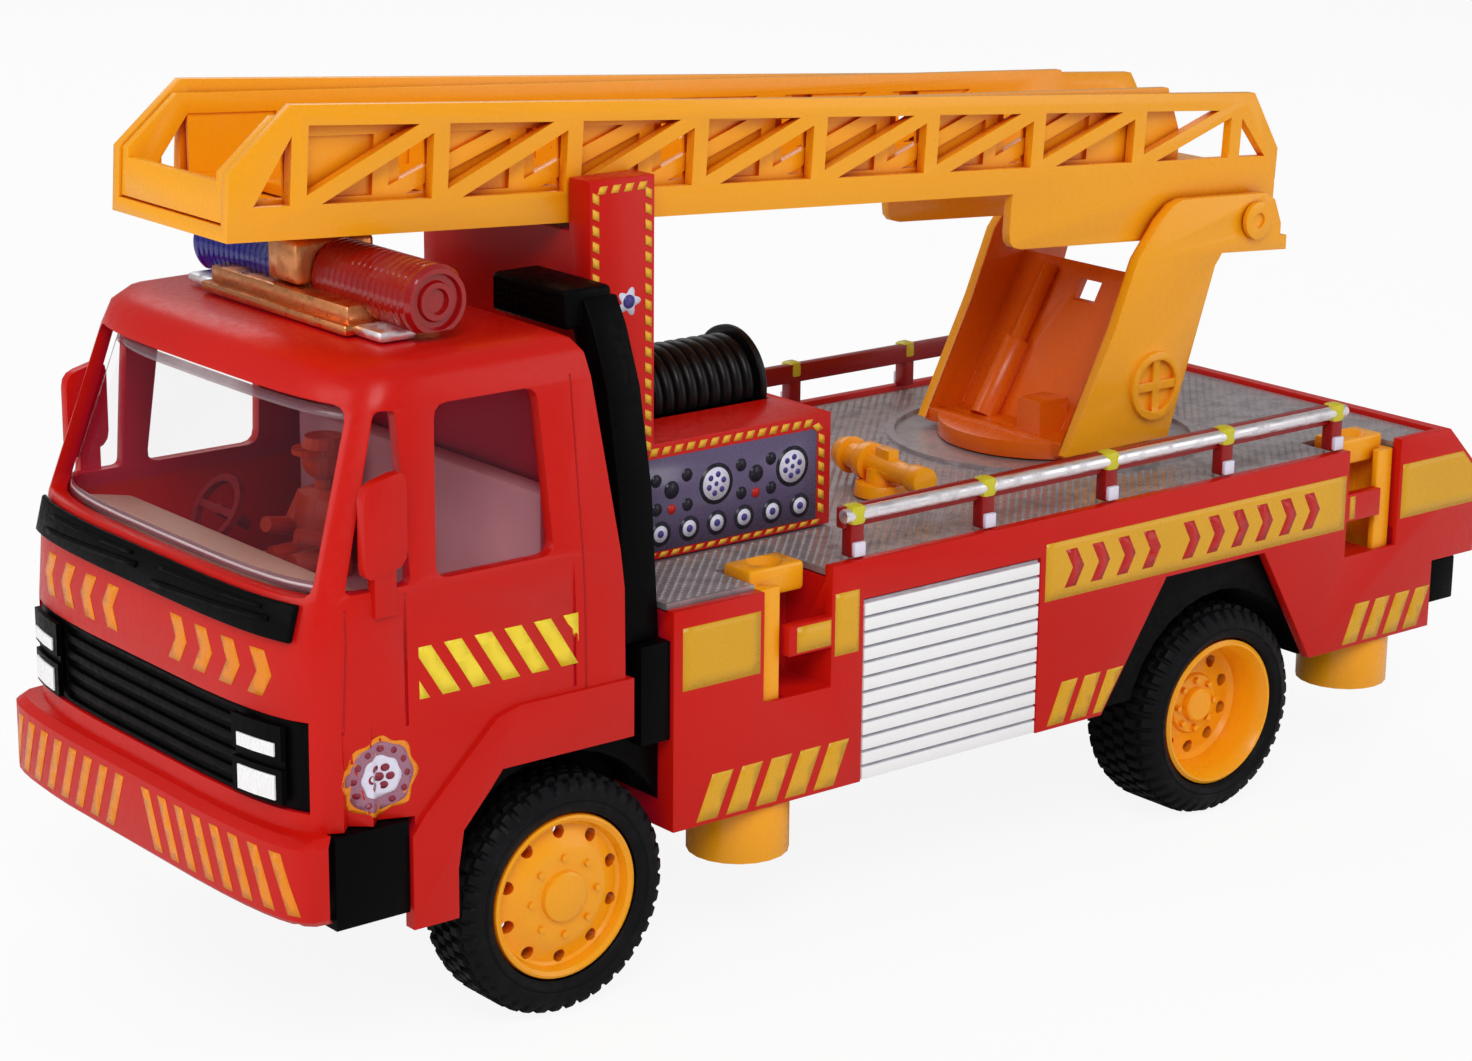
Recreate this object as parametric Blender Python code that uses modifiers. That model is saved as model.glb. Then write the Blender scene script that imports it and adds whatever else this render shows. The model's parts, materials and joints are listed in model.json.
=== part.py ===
"""Toy fire engine: a moulded plastic truck with a turntable ladder.

Metres, +Z up. The truck's front points to -X and its left side to -Y.
Stations are distances behind the front axle; an empty named truck_datum
places station zero, so that the origin is on the floor under the middle.
"""

import math

import bmesh
import bpy
from mathutils import Matrix, Vector

# Overall
WHEELBASE = 0.1428
FRONT_OVERHANG = 0.0493
REAR_OVERHANG = 0.0659
HALF_WIDTH = 0.0442
SEAT_GAP = 0.0003
RUN_GAP = 0.0006
OVERRUN = 0.0030
ROUND_SIDES = 24

# Wheels
TYRE_RADIUS = 0.0190
TYRE_WIDTH_FRONT = 0.0126
TYRE_WIDTH_REAR = 0.0166
TYRE_FACE_INSET = 0.0004
RIM_RADIUS = 0.0131
RIM_WALL = 0.0012
RIM_LIP = 0.0016
HUB_RADIUS = 0.0050
HUB_CAP_RADIUS = 0.0042
HUB_CAP_PROUD = 0.0012
DOME_RISE = 0.0022
DISH_DEPTH = 0.0070
VENT_COUNT = 10
VENT_RADIUS = 0.0010
VENT_CIRCLE_SHARE = 0.78
AXLE_RADIUS = 0.0015

# Body side heights
SILL_Z = 0.0250
TRAY_Z = 0.0600
BODY_RIM_Z = 0.0622
BODY_FRONT_RIM_Z = 0.0606
BODY_WALL = 0.0020
ARCH_TOP_Z = 0.0470
STEP_UP_Z = 0.0375

# Body stations
BODY_FRONT = 0.0197
BODY_REAR = WHEELBASE + REAR_OVERHANG
TAIL_STEP = 0.0115
TAIL_CHAMFER = 0.0085
ARCH_FOOT_FRONT = 0.0306
ARCH_FOOT_REAR = 0.0218
ARCH_HEAD_FRONT = 0.0160
ARCH_HEAD_REAR = 0.0086

# Shutters
SHUTTER_FRONT = 0.0579
SHUTTER_LENGTH = 0.0388
SHUTTER_TOP_Z = 0.0557
SHUTTER_THICK = 0.0010
SHUTTER_SLATS = 12
SLAT_GROOVE = 0.0005
SLAT_FACE_SHARE = 0.80
SLAT_SLOPE_SHARE = 0.88
SLAT_FLOOR_SHARE = 0.94

# Jacks and their notches
NOTCH_LENGTH = 0.0138
NOTCH_FRONT = 0.0375
NOTCH_REAR = WHEELBASE + 0.0299
NOTCH_DEPTH = 0.0116
NOTCH_FLOOR_Z = 0.0424
JACK_COLUMN_DEPTH = 0.0042
JACK_COLUMN_WIDTH = 0.0094
JACK_COLUMN_WALL = 0.0014
JACK_SLOT_WALL = 0.0010
JACK_CAP_REACH = 0.0070
JACK_CAP_TOP_Z = 0.0628
JACK_CAP_THICK = 0.0048
JACK_DISH_DEPTH = 0.0012
JACK_FOOT_RADIUS = 0.0083
JACK_FOOT_BOTTOM_Z = 0.0155
JACK_FOOT_HEIGHT = 0.0091
JACK_FOOT_WALL = 0.0015
JACK_FOOT_INSET = 0.0008
CATCH_HEIGHT = 0.0050
CATCH_BOTTOM_Z = 0.0490
CATCH_LENGTH = 0.0088

# Chassis
SPINE_HALF_WIDTH = 0.0180
SPINE_THICK = 0.0080
FRONT_LINER_FRONT = 0.0195
FRONT_LINER_TOP_Z = 0.0422
REAR_LINER_TOP_Z = 0.0520
REAR_LINER_FRONT = 0.0340
REAR_LINER_REAR = 0.0250
LINER_CLEARANCE = 0.0033
BULKHEAD_THICK = 0.0055
BULKHEAD_TOP_Z = 0.0560
STEP_BLOCK_FRONT = 0.0410
STEP_BLOCK_REAR = 0.0284
STEP_BLOCK_BOTTOM_Z = 0.0238
BEARING_HALF_LENGTH = 0.0050
BEARING_DROP = 0.0035
TAIL_BEAM_LENGTH = 0.0072
TAIL_BEAM_BOTTOM_Z = 0.0291

# Cab
CAB_BOTTOM_Z = 0.0210
CAB_TOP_Z = 0.1043
CAB_NOSE = 0.0468
CAB_TAIL = 0.0124
CAB_WALL = 0.0020
CAB_SETBACK = 0.0010
CAB_HALF_WIDTH = HALF_WIDTH - CAB_SETBACK
CAB_NOSE_ROUND = 0.0125
CAB_TAIL_ROUND = 0.0012
CAB_NOSE_POWER = 3.6
CAB_TAIL_POWER = 4.0
CAB_NOSE_STEPS = 18
CAB_TAIL_STEPS = 8
ARCH_CAB_TOP_Z = 0.0425
ARCH_CAB_FRONT = 0.0202
FLARE_BAND = 0.0092
FENDER_LEG = 0.0079
BUMPER_TOP_Z = 0.0383
BUMPER_THICK = 0.0068
BUMPER_EDGE = 0.0012
GRILLE_BOTTOM_Z = 0.0410
GRILLE_TOP_Z = 0.0548
GRILLE_HALF_WIDTH = CAB_HALF_WIDTH - 0.0032
GRILLE_THICK = 0.0020
GRILLE_SLATS = 5
GRILLE_SLOT_DEPTH = 0.0008
LAMP_WIDTH = 0.0104
LAMP_INNER_Y = GRILLE_HALF_WIDTH - 0.0138
LAMP_PROUD = 0.0009
TRIM_BOTTOM_Z = 0.0662
TRIM_TOP_Z = 0.0716
TRIM_THICK = 0.0006
TRIM_HALF_WIDTH = CAB_HALF_WIDTH - 0.0058
SCREEN_BOTTOM_Z = 0.0722
SCREEN_TOP_Z = 0.0985
SCREEN_HALF_BOTTOM = CAB_HALF_WIDTH - 0.0049
SCREEN_HALF_TOP = CAB_HALF_WIDTH - 0.0080
SIDE_GLASS_BOTTOM_Z = 0.0730
SIDE_GLASS_TOP_Z = 0.0980
DOOR_GLASS_FRONT = 0.0223
DOOR_GLASS_REAR = 0.0013
DOOR_GLASS_RAKE = 0.0020
QUARTER_GLASS_FRONT = 0.0373
QUARTER_GLASS_REAR = 0.0266
QUARTER_GLASS_RAKE = 0.0076
GLASS_THICK = 0.0010
GLASS_LAP = 0.0025
DOOR_SEAM_FRONT = 0.0284
DOOR_SEAM_REAR = 0.0015
DOOR_SEAM_WIDTH = 0.0006
DOOR_SEAM_DEPTH = 0.0006
MIRROR_STATION = 0.0316
MIRROR_LENGTH = 0.0072
MIRROR_HEIGHT = 0.0158
MIRROR_THICK = 0.0018
MIRROR_BOTTOM_Z = 0.0748
CORNER_ROUND = 0.0022

# Cab inside
CAB_FLOOR_THICK = 0.0015
SEAT_HEIGHT = 0.0130
SEAT_LENGTH = 0.0140
SEAT_BACK_HEIGHT = 0.0230
SEAT_BACK_THICK = 0.0050
SEAT_HALF_WIDTH = CAB_HALF_WIDTH - 0.0092
DASH_LENGTH = 0.0120
DASH_HEIGHT = 0.0280
DASH_STATION = 0.0380
WHEEL_RING_RADIUS = 0.0058
WHEEL_RING_SECTION = 0.0006
WHEEL_TILT = math.radians(58)
DRIVER_Y = 0.0180

# Roof and tower furniture
LIGHT_BAR_STATION = 0.0131
LIGHT_BAR_HALF_LENGTH = 0.0304
LIGHT_BASE_HALF_LENGTH = 0.0278
LIGHT_BASE_WIDTH = 0.0190
LIGHT_BASE_HEIGHT = 0.0042
LIGHT_CENTRE_HALF_LENGTH = 0.0044
BEACON_RADIUS = 0.0055
LIGHT_BASE_SETBACK = 0.0012
BEACON_LIFT = 0.0002
TROUGH_FLOOR = 0.0011
INTAKE_STATION = 0.0155
INTAKE_WIDTH = 0.0056
INTAKE_DEPTH = 0.0062
INTAKE_TOP_Z = 0.1092
INTAKE_HEAD_HEIGHT = 0.0062
INTAKE_HEAD_LENGTH = 0.0168

# Ladder rest and pump box
REST_HALF_WIDTH = 0.0227
REST_THICK = 0.0123
REST_TOP_Z = 0.1233
REST_LIP_DROP = 0.0083
REST_CHEEK_GAP = 0.0007
PUMP_LENGTH = 0.0365
PUMP_TOP_Z = 0.0805
REEL_RADIUS = 0.0081
REEL_FLANGE = 0.0012
REEL_FLANGE_THICK = 0.0012
REEL_CENTRE_Z = 0.0820
REEL_TURNS = 10
HOSE_RADIUS = 0.0011

# Deck
DECK_THICK = 0.0010
DECK_RING_OUTER = 0.0287
DECK_RING_WIDTH = 0.0016
DECK_RING_RISE = 0.0008
MONITOR_FRONT_OF_TURRET = 0.0512
MONITOR_Y = 0.0138

# Rails
RAIL_FRONT = 0.0577
RAIL_POSTS = 5
RAIL_PITCH = (NOTCH_REAR - 0.0022 - RAIL_FRONT) / (RAIL_POSTS - 1)
RAIL_Y = HALF_WIDTH - 0.0027
RAIL_Z = 0.0690
RAIL_RADIUS = 0.0015
RAIL_BOARD_LOW = 0.0021
RAIL_BOARD_HIGH = 0.0017
RAIL_BOARD_THICK = 0.0013
RAIL_POST_RADIUS = 0.0012
RAIL_CLAMP_RADIUS = 0.0021
RAIL_CLAMP_LENGTH = 0.0036

# Turret
TURRET_STATION = WHEELBASE - 0.0036
TURRET_BASE_RADIUS = 0.0192
TURRET_BASE_THICK = 0.0030
TURRET_PIN_RADIUS = 0.0060
PIVOT_OFFSET = 0.0322
PIVOT_RISE = 0.0388
CHEEK_Y = 0.0195
CHEEK_THICK = 0.0022
WEB_THICK = 0.0018
WEB_SETBACK = 0.0082
SILL_RISE = 0.0032
RAM_Y = 0.0088
RAM_RADIUS = 0.0026
RAM_ROD_RADIUS = 0.0016
FOOT_BOX = 0.0058
WINDOW_HALF_WIDTH = 0.0040
WINDOW_HEIGHT = 0.0042
HAND_WHEEL_RADIUS = 0.0062
HAND_WHEEL_PROUD = 0.0011
PIN_RADIUS = 0.0020
PIN_HEAD_RADIUS = 0.0034
PIN_DIMPLE_RADIUS = 0.0014
PIN_HEAD_THICK = 0.0010

# Ladder, measured from its pivot along its own length
LADDER_TILT = math.radians(3.6)
LADDER_NOSE_STATION = 0.0405
LADDER_REACH = TURRET_STATION + PIVOT_OFFSET + LADDER_NOSE_STATION
LADDER_TAIL = 0.0078
LADDER_TAIL_SLANT = 0.0074
LADDER_HALF_WIDTH = 0.0165
LADDER_FLOOR = 0.0066
LADDER_DEPTH = 0.0189
LADDER_NOSE_DROP = 0.0006
LADDER_TAIL_DROP = 0.0030
LADDER_WALL = 0.0018
LADDER_FLOOR_THICK = 0.0016
LADDER_CHORD_LOW = 0.0044
LADDER_CHORD_TOP = 0.0030
LADDER_POST = 0.0028
LADDER_DIAGONAL = 0.0024
LADDER_PANELS = 8
LADDER_NOSE_RISE = 0.0092
LADDER_NOSE_SLANT = 0.0102
LADDER_FIRST_POST = 0.0117
LADDER_LAST_POST = 0.0037
LADDER_PITCH = (LADDER_REACH - LADDER_FIRST_POST - LADDER_LAST_POST) / LADDER_PANELS
LADDER_NOSE_EDGE = 0.0042
LADDER_TAIL_EDGE = 0.0034
BRACKET_LENGTH = 0.0580
BRACKET_DROP = 0.0030
BRACKET_ROUND = 0.0030
FLY_GAP = 0.0004
FLY_DEPTH = 0.0150
FLY_WALL = 0.0016
FLY_LENGTH = 0.1960
FLY_LATTICE_SHIFT = 0.0154
FLY_LIP = 0.0058

SIDES = (("left", -1), ("right", 1))

# Heights above the sill edge, nose and width of the cab as shares, bottom to top
# columns: height, nose setback of the overhang, half width, tail setback of the nose round
CAB_LEVEL_SHARES = (
    (0.000, 0.010, 1.000, 0.00),
    (0.200, 0.000, 1.003, 0.00),
    (0.400, 0.000, 1.000, 0.00),
    (0.537, 0.018, 0.995, 0.00),
    (0.610, 0.050, 0.986, 0.40),
    (0.925, 0.240, 0.914, 3.00),
    (0.969, 0.272, 0.896, 3.60),
    (0.991, 0.318, 0.858, 4.60),
    (1.000, 0.385, 0.790, 6.00),
)

# Turret cheek: along the pivot's offset, up its rise
CHEEK_SHARES = (
    (-0.407, 0.000),
    (-0.068, 0.588),
    (0.090, 0.897),
    (0.255, 1.062),
    (0.348, 1.124),
    (0.422, 1.144),
    (1.087, 1.119),
    (1.165, 1.082),
    (1.224, 0.966),
    (1.224, 0.904),
    (1.276, 0.904),
    (1.276, 0.835),
    (0.752, 0.866),
    (0.702, 0.814),
    (0.379, 0.000),
)

# Intake pipe: heights from its foot to its shoulder, and its middle behind the side of the body
INTAKE_BEND_SHARES = (
    (0.00, 0.0052),
    (0.45, 0.0070),
    (0.75, 0.0100),
    (0.92, 0.0134),
    (1.00, 0.0158),
)

PAINTS = {
    "red plastic": ((0.58, 0.010, 0.008), 0.32, 0.0),
    "yellow plastic": ((0.86, 0.40, 0.018), 0.35, 0.0),
    "black plastic": ((0.012, 0.012, 0.014), 0.45, 0.0),
    "silver deck": ((0.42, 0.40, 0.42), 0.38, 0.6),
    "chrome": ((0.75, 0.75, 0.77), 0.10, 1.0),
    "clear": ((0.80, 0.82, 0.86), 0.05, 0.0),
    "blue lens": ((0.02, 0.03, 0.45), 0.08, 0.0),
    "red lens": ((0.60, 0.01, 0.02), 0.08, 0.0),
    "seat grey": ((0.36, 0.34, 0.38), 0.55, 0.0),
    "dash beige": ((0.55, 0.42, 0.36), 0.55, 0.0),
    "driver red": ((0.33, 0.02, 0.02), 0.45, 0.0),
    "tyre rubber": ((0.012, 0.012, 0.012), 0.75, 0.0),
    "shutter white": ((0.78, 0.78, 0.80), 0.40, 0.0),
}


def collection(name):
    """A collection linked to the scene."""
    made = bpy.data.collections.new(name)
    bpy.context.scene.collection.children.link(made)
    return made


def material(name):
    """The Principled material of a finish, made once."""
    if name in bpy.data.materials:
        return bpy.data.materials[name]
    colour, roughness, metallic = PAINTS[name]
    made = bpy.data.materials.new(name)
    made.use_nodes = True
    shader = made.node_tree.nodes["Principled BSDF"]
    shader.inputs["Base Color"].default_value = (*colour, 1)
    shader.inputs["Roughness"].default_value = roughness
    shader.inputs["Metallic"].default_value = metallic
    made.diffuse_color = (*colour, 1)
    return made


def blank(name, data):
    """An unfinished shape, kept with the cutters until it is finished."""
    made = bpy.data.objects.new(name, data)
    CUTTERS.objects.link(made)
    made.hide_render = True
    made.display_type = "WIRE"
    return made


def from_bmesh(name, bm):
    """A shape from a bmesh, with its faces pointing out."""
    bmesh.ops.recalc_face_normals(bm, faces=bm.faces)
    mesh = bpy.data.meshes.new(name)
    bm.to_mesh(mesh)
    bm.free()
    return blank(name, mesh)


def box(low, high, name="box"):
    """A block between two corners."""
    low, high = Vector(low), Vector(high)
    bm = bmesh.new()
    bmesh.ops.create_cube(bm, size=1)
    size = Matrix.Diagonal((high - low).to_4d())
    bmesh.ops.transform(bm, matrix=Matrix.Translation((low + high) / 2) @ size, verts=bm.verts)
    return from_bmesh(name, bm)


def rod(start, end, radius, end_radius=None, sides=ROUND_SIDES, name="rod"):
    """A round bar or cone between two points."""
    start, end = Vector(start), Vector(end)
    along = end - start
    bm = bmesh.new()
    bmesh.ops.create_cone(
        bm,
        cap_ends=True,
        segments=sides,
        radius1=radius,
        radius2=radius if end_radius is None else end_radius,
        depth=along.length,
    )
    turn = along.to_track_quat("Z", "Y").to_matrix().to_4x4()
    bmesh.ops.transform(bm, matrix=Matrix.Translation((start + end) / 2) @ turn, verts=bm.verts)
    return from_bmesh(name, bm)


PLANES = {
    "XY": Matrix.Identity(4),
    "XZ": Matrix(((1, 0, 0, 0), (0, 0, -1, 0), (0, 1, 0, 0), (0, 0, 0, 1))),
    "YZ": Matrix(((0, 0, 1, 0), (1, 0, 0, 0), (0, 1, 0, 0), (0, 0, 0, 1))),
}


def plate(outline, low, high, plane="XZ", name="plate"):
    """A flat outline, extruded between two places on its plane's normal."""
    curve = bpy.data.curves.new(name, "CURVE")
    curve.dimensions = "2D"
    curve.fill_mode = "BOTH"
    curve.extrude = (high - low) / 2
    spline = curve.splines.new("POLY")
    spline.points.add(len(outline) - 1)
    for point, (u, v) in zip(spline.points, outline):
        point.co = (u, v, 0, 1)
    spline.use_cyclic_u = True
    guide = blank(name, curve)
    middle = Vector((0, 0, 0))
    middle[{"XY": 2, "XZ": 1, "YZ": 0}[plane]] = (low + high) / 2
    depsgraph = bpy.context.evaluated_depsgraph_get()
    mesh = bpy.data.meshes.new_from_object(guide.evaluated_get(depsgraph))
    bpy.data.objects.remove(guide)
    bm = bmesh.new()
    bm.from_mesh(mesh)
    bpy.data.meshes.remove(mesh)
    bmesh.ops.transform(bm, matrix=Matrix.Translation(middle) @ PLANES[plane], verts=bm.verts)
    bmesh.ops.remove_doubles(bm, verts=bm.verts, dist=SEAT_GAP / 30)
    return from_bmesh(name, bm)


def turned(profile, sides=ROUND_SIDES, name="turned"):
    """A profile of (radius, height) from its top down, turned about the local Y axis."""
    mesh = bpy.data.meshes.new(name)
    closed = profile[0] == profile[-1]
    points = [(r, 0, h) for r, h in (profile[:-1] if closed else profile)]
    edges = [(i, i + 1) for i in range(len(points) - 1)]
    if closed:
        edges.append((len(points) - 1, 0))
    mesh.from_pydata(points, edges, [])
    made = blank(name, mesh)
    screw = made.modifiers.new("turn", "SCREW")
    screw.steps = sides
    screw.render_steps = sides
    screw.use_merge_vertices = True
    screw.merge_threshold = SEAT_GAP / 30
    bake(made)
    bm = bmesh.new()
    bm.from_mesh(made.data)
    bmesh.ops.rotate(bm, matrix=Matrix.Rotation(math.pi / 2, 3, "X"), verts=bm.verts)
    bmesh.ops.recalc_face_normals(bm, faces=bm.faces)
    bm.to_mesh(made.data)
    bm.free()
    return made


def ring_loft(rings, name="loft", closed_ends=True):
    """A skin over rings of as many points each, with its ends capped."""
    bm = bmesh.new()
    rows = [[bm.verts.new(point) for point in ring] for ring in rings]
    for low, high in zip(rows, rows[1:]):
        for i in range(len(low)):
            j = (i + 1) % len(low)
            bm.faces.new((low[i], low[j], high[j], high[i]))
    if closed_ends:
        bm.faces.new(rows[0])
        bm.faces.new(rows[-1])
    else:
        first, last = rows[0], rows[-1]
        for i in range(len(first)):
            j = (i + 1) % len(first)
            bm.faces.new((last[i], last[j], first[j], first[i]))
    return from_bmesh(name, bm)


def bake(target):
    """Turns a shape's modifiers into its mesh."""
    depsgraph = bpy.context.evaluated_depsgraph_get()
    mesh = bpy.data.meshes.new_from_object(target.evaluated_get(depsgraph))
    target.modifiers.clear()
    old = target.data
    target.data = mesh
    bpy.data.meshes.remove(old)


def combine(target, tools, operation):
    """Applies Booleans with each tool in turn and removes the tools."""
    for tool in tools:
        step = target.modifiers.new(operation, "BOOLEAN")
        step.operation = operation
        step.solver = "EXACT"
        step.object = tool
        bake(target)
        bpy.data.objects.remove(tool)
    return target


def fuse(target, *tools):
    """One body from shapes that overlap."""
    return combine(target, tools, "UNION")


def cut(target, *tools):
    """Cuts tools out of a shape."""
    return combine(target, tools, "DIFFERENCE")


def moved(target, offset):
    """A shape's mesh, moved."""
    target.data.transform(Matrix.Translation(offset))
    return target


def mirrored(target):
    """A shape's mesh, mirrored across the truck's middle."""
    bm = bmesh.new()
    bm.from_mesh(target.data)
    bmesh.ops.transform(bm, matrix=Matrix.Diagonal((1, -1, 1, 1)), verts=bm.verts)
    bmesh.ops.recalc_face_normals(bm, faces=bm.faces)
    bm.to_mesh(target.data)
    bm.free()
    return target


def softened(target, width, segments=2, angle=math.radians(35)):
    """Rounded edges."""
    bevel = target.modifiers.new("soften", "BEVEL")
    bevel.width = width
    bevel.segments = segments
    bevel.limit_method = "ANGLE"
    bevel.angle_limit = angle
    bake(target)
    return target


def finish(target, name, paint, carrier, place=(0, 0, 0), smooth=math.radians(32)):
    """Names, paints, places and parents a finished piece."""
    target.name = name
    target.data.name = name
    CUTTERS.objects.unlink(target)
    PARTS.objects.link(target)
    target.hide_render = False
    target.display_type = "TEXTURED"
    target.data.materials.clear()
    target.data.materials.append(material(paint))
    target.data.shade_smooth()
    target.data.set_sharp_from_angle(angle=smooth)
    target.location = place
    target.parent = carrier
    return target


def carrier(name, place, parent=None):
    """An empty on a joint's axis."""
    made = bpy.data.objects.new(name, None)
    PARTS.objects.link(made)
    made.location = place
    made.parent = parent
    made.empty_display_size = TYRE_RADIUS
    return made


def rounded(points, radius, steps=3):
    """An outline with each corner rounded by an arc."""
    made = []
    count = len(points)
    for i, corner in enumerate(points):
        here = Vector(corner)
        before = (Vector(points[i - 1]) - here)
        after = (Vector(points[(i + 1) % count]) - here)
        reach = min(radius, before.length / 2.2, after.length / 2.2)
        start = here + before.normalized() * reach
        end = here + after.normalized() * reach
        for k in range(steps + 1):
            t = k / steps
            made.append(tuple((1 - t) ** 2 * start + 2 * t * (1 - t) * here + t * t * end))
    return made


def along_shares(table, value):
    """The row of a table of levels at a height share, between its rows."""
    for low, high in zip(table, table[1:]):
        if value <= high[0]:
            t = (value - low[0]) / (high[0] - low[0])
            return [a + (b - a) * t for a, b in zip(low, high)]
    return list(table[-1])


def cab_ring(z, inset=0.0):
    """The cab's outline in plan at a height, going round from its right rear corner."""
    share = (z - CAB_BOTTOM_Z) / (CAB_TOP_Z - CAB_BOTTOM_Z)
    _, nose, width, tail = along_shares(CAB_LEVEL_SHARES, max(share, 0))
    nose_x = -CAB_NOSE + nose * CAB_NOSE + inset
    tail_x = CAB_TAIL - tail * CAB_TAIL_ROUND - inset
    half = CAB_HALF_WIDTH * width - inset
    ring = []
    for k in range(CAB_NOSE_STEPS + 1):
        t = math.pi * k / CAB_NOSE_STEPS
        c, s = math.cos(t), math.sin(t)
        y = math.copysign(abs(c) ** (2 / CAB_NOSE_POWER), c) * half
        x = nose_x + CAB_NOSE_ROUND * (1 - abs(s) ** (2 / CAB_NOSE_POWER))
        ring.append((x, y, z))
    for k in range(CAB_TAIL_STEPS + 1):
        t = math.pi * k / CAB_TAIL_STEPS
        c, s = math.cos(t), math.sin(t)
        y = -math.copysign(abs(c) ** (2 / CAB_TAIL_POWER), c) * half
        x = tail_x - CAB_TAIL_ROUND * (1 - abs(s) ** (2 / CAB_TAIL_POWER))
        ring.append((x, y, z))
    return ring


def cab_nose_x(y, z, inset=0.0):
    """Where the cab's front surface is, at a place across and a height."""
    share = (z - CAB_BOTTOM_Z) / (CAB_TOP_Z - CAB_BOTTOM_Z)
    _, nose, width, _ = along_shares(CAB_LEVEL_SHARES, max(share, 0))
    half = CAB_HALF_WIDTH * width - inset
    ratio = min(abs(y) / half, 1)
    bow = 1 - (1 - ratio**CAB_NOSE_POWER) ** (1 / CAB_NOSE_POWER)
    return -CAB_NOSE + nose * CAB_NOSE + inset + CAB_NOSE_ROUND * bow


def nose_strip(low_z, high_z, half_width, inner, outer, steps=10):
    """A band that follows the cab's front between two heights, inner and outer insets apart."""
    rings = []
    for k in range(steps + 1):
        y = half_width * math.sin(math.pi / 2 * (1 - 2 * k / steps))
        rings.append(
            [
                (cab_nose_x(y, low_z, outer), y, low_z),
                (cab_nose_x(y, low_z, inner), y, low_z),
                (cab_nose_x(y, high_z, inner), y, high_z),
                (cab_nose_x(y, high_z, outer), y, high_z),
            ]
        )
    return ring_loft(rings, "strip")


def cab_levels(low_z, high_z):
    """The heights of the cab's sections between two heights, ends included."""
    span = CAB_TOP_Z - CAB_BOTTOM_Z
    inside = [CAB_BOTTOM_Z + row[0] * span for row in CAB_LEVEL_SHARES]
    return [low_z] + [z for z in inside if low_z < z < high_z] + [high_z]


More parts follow.
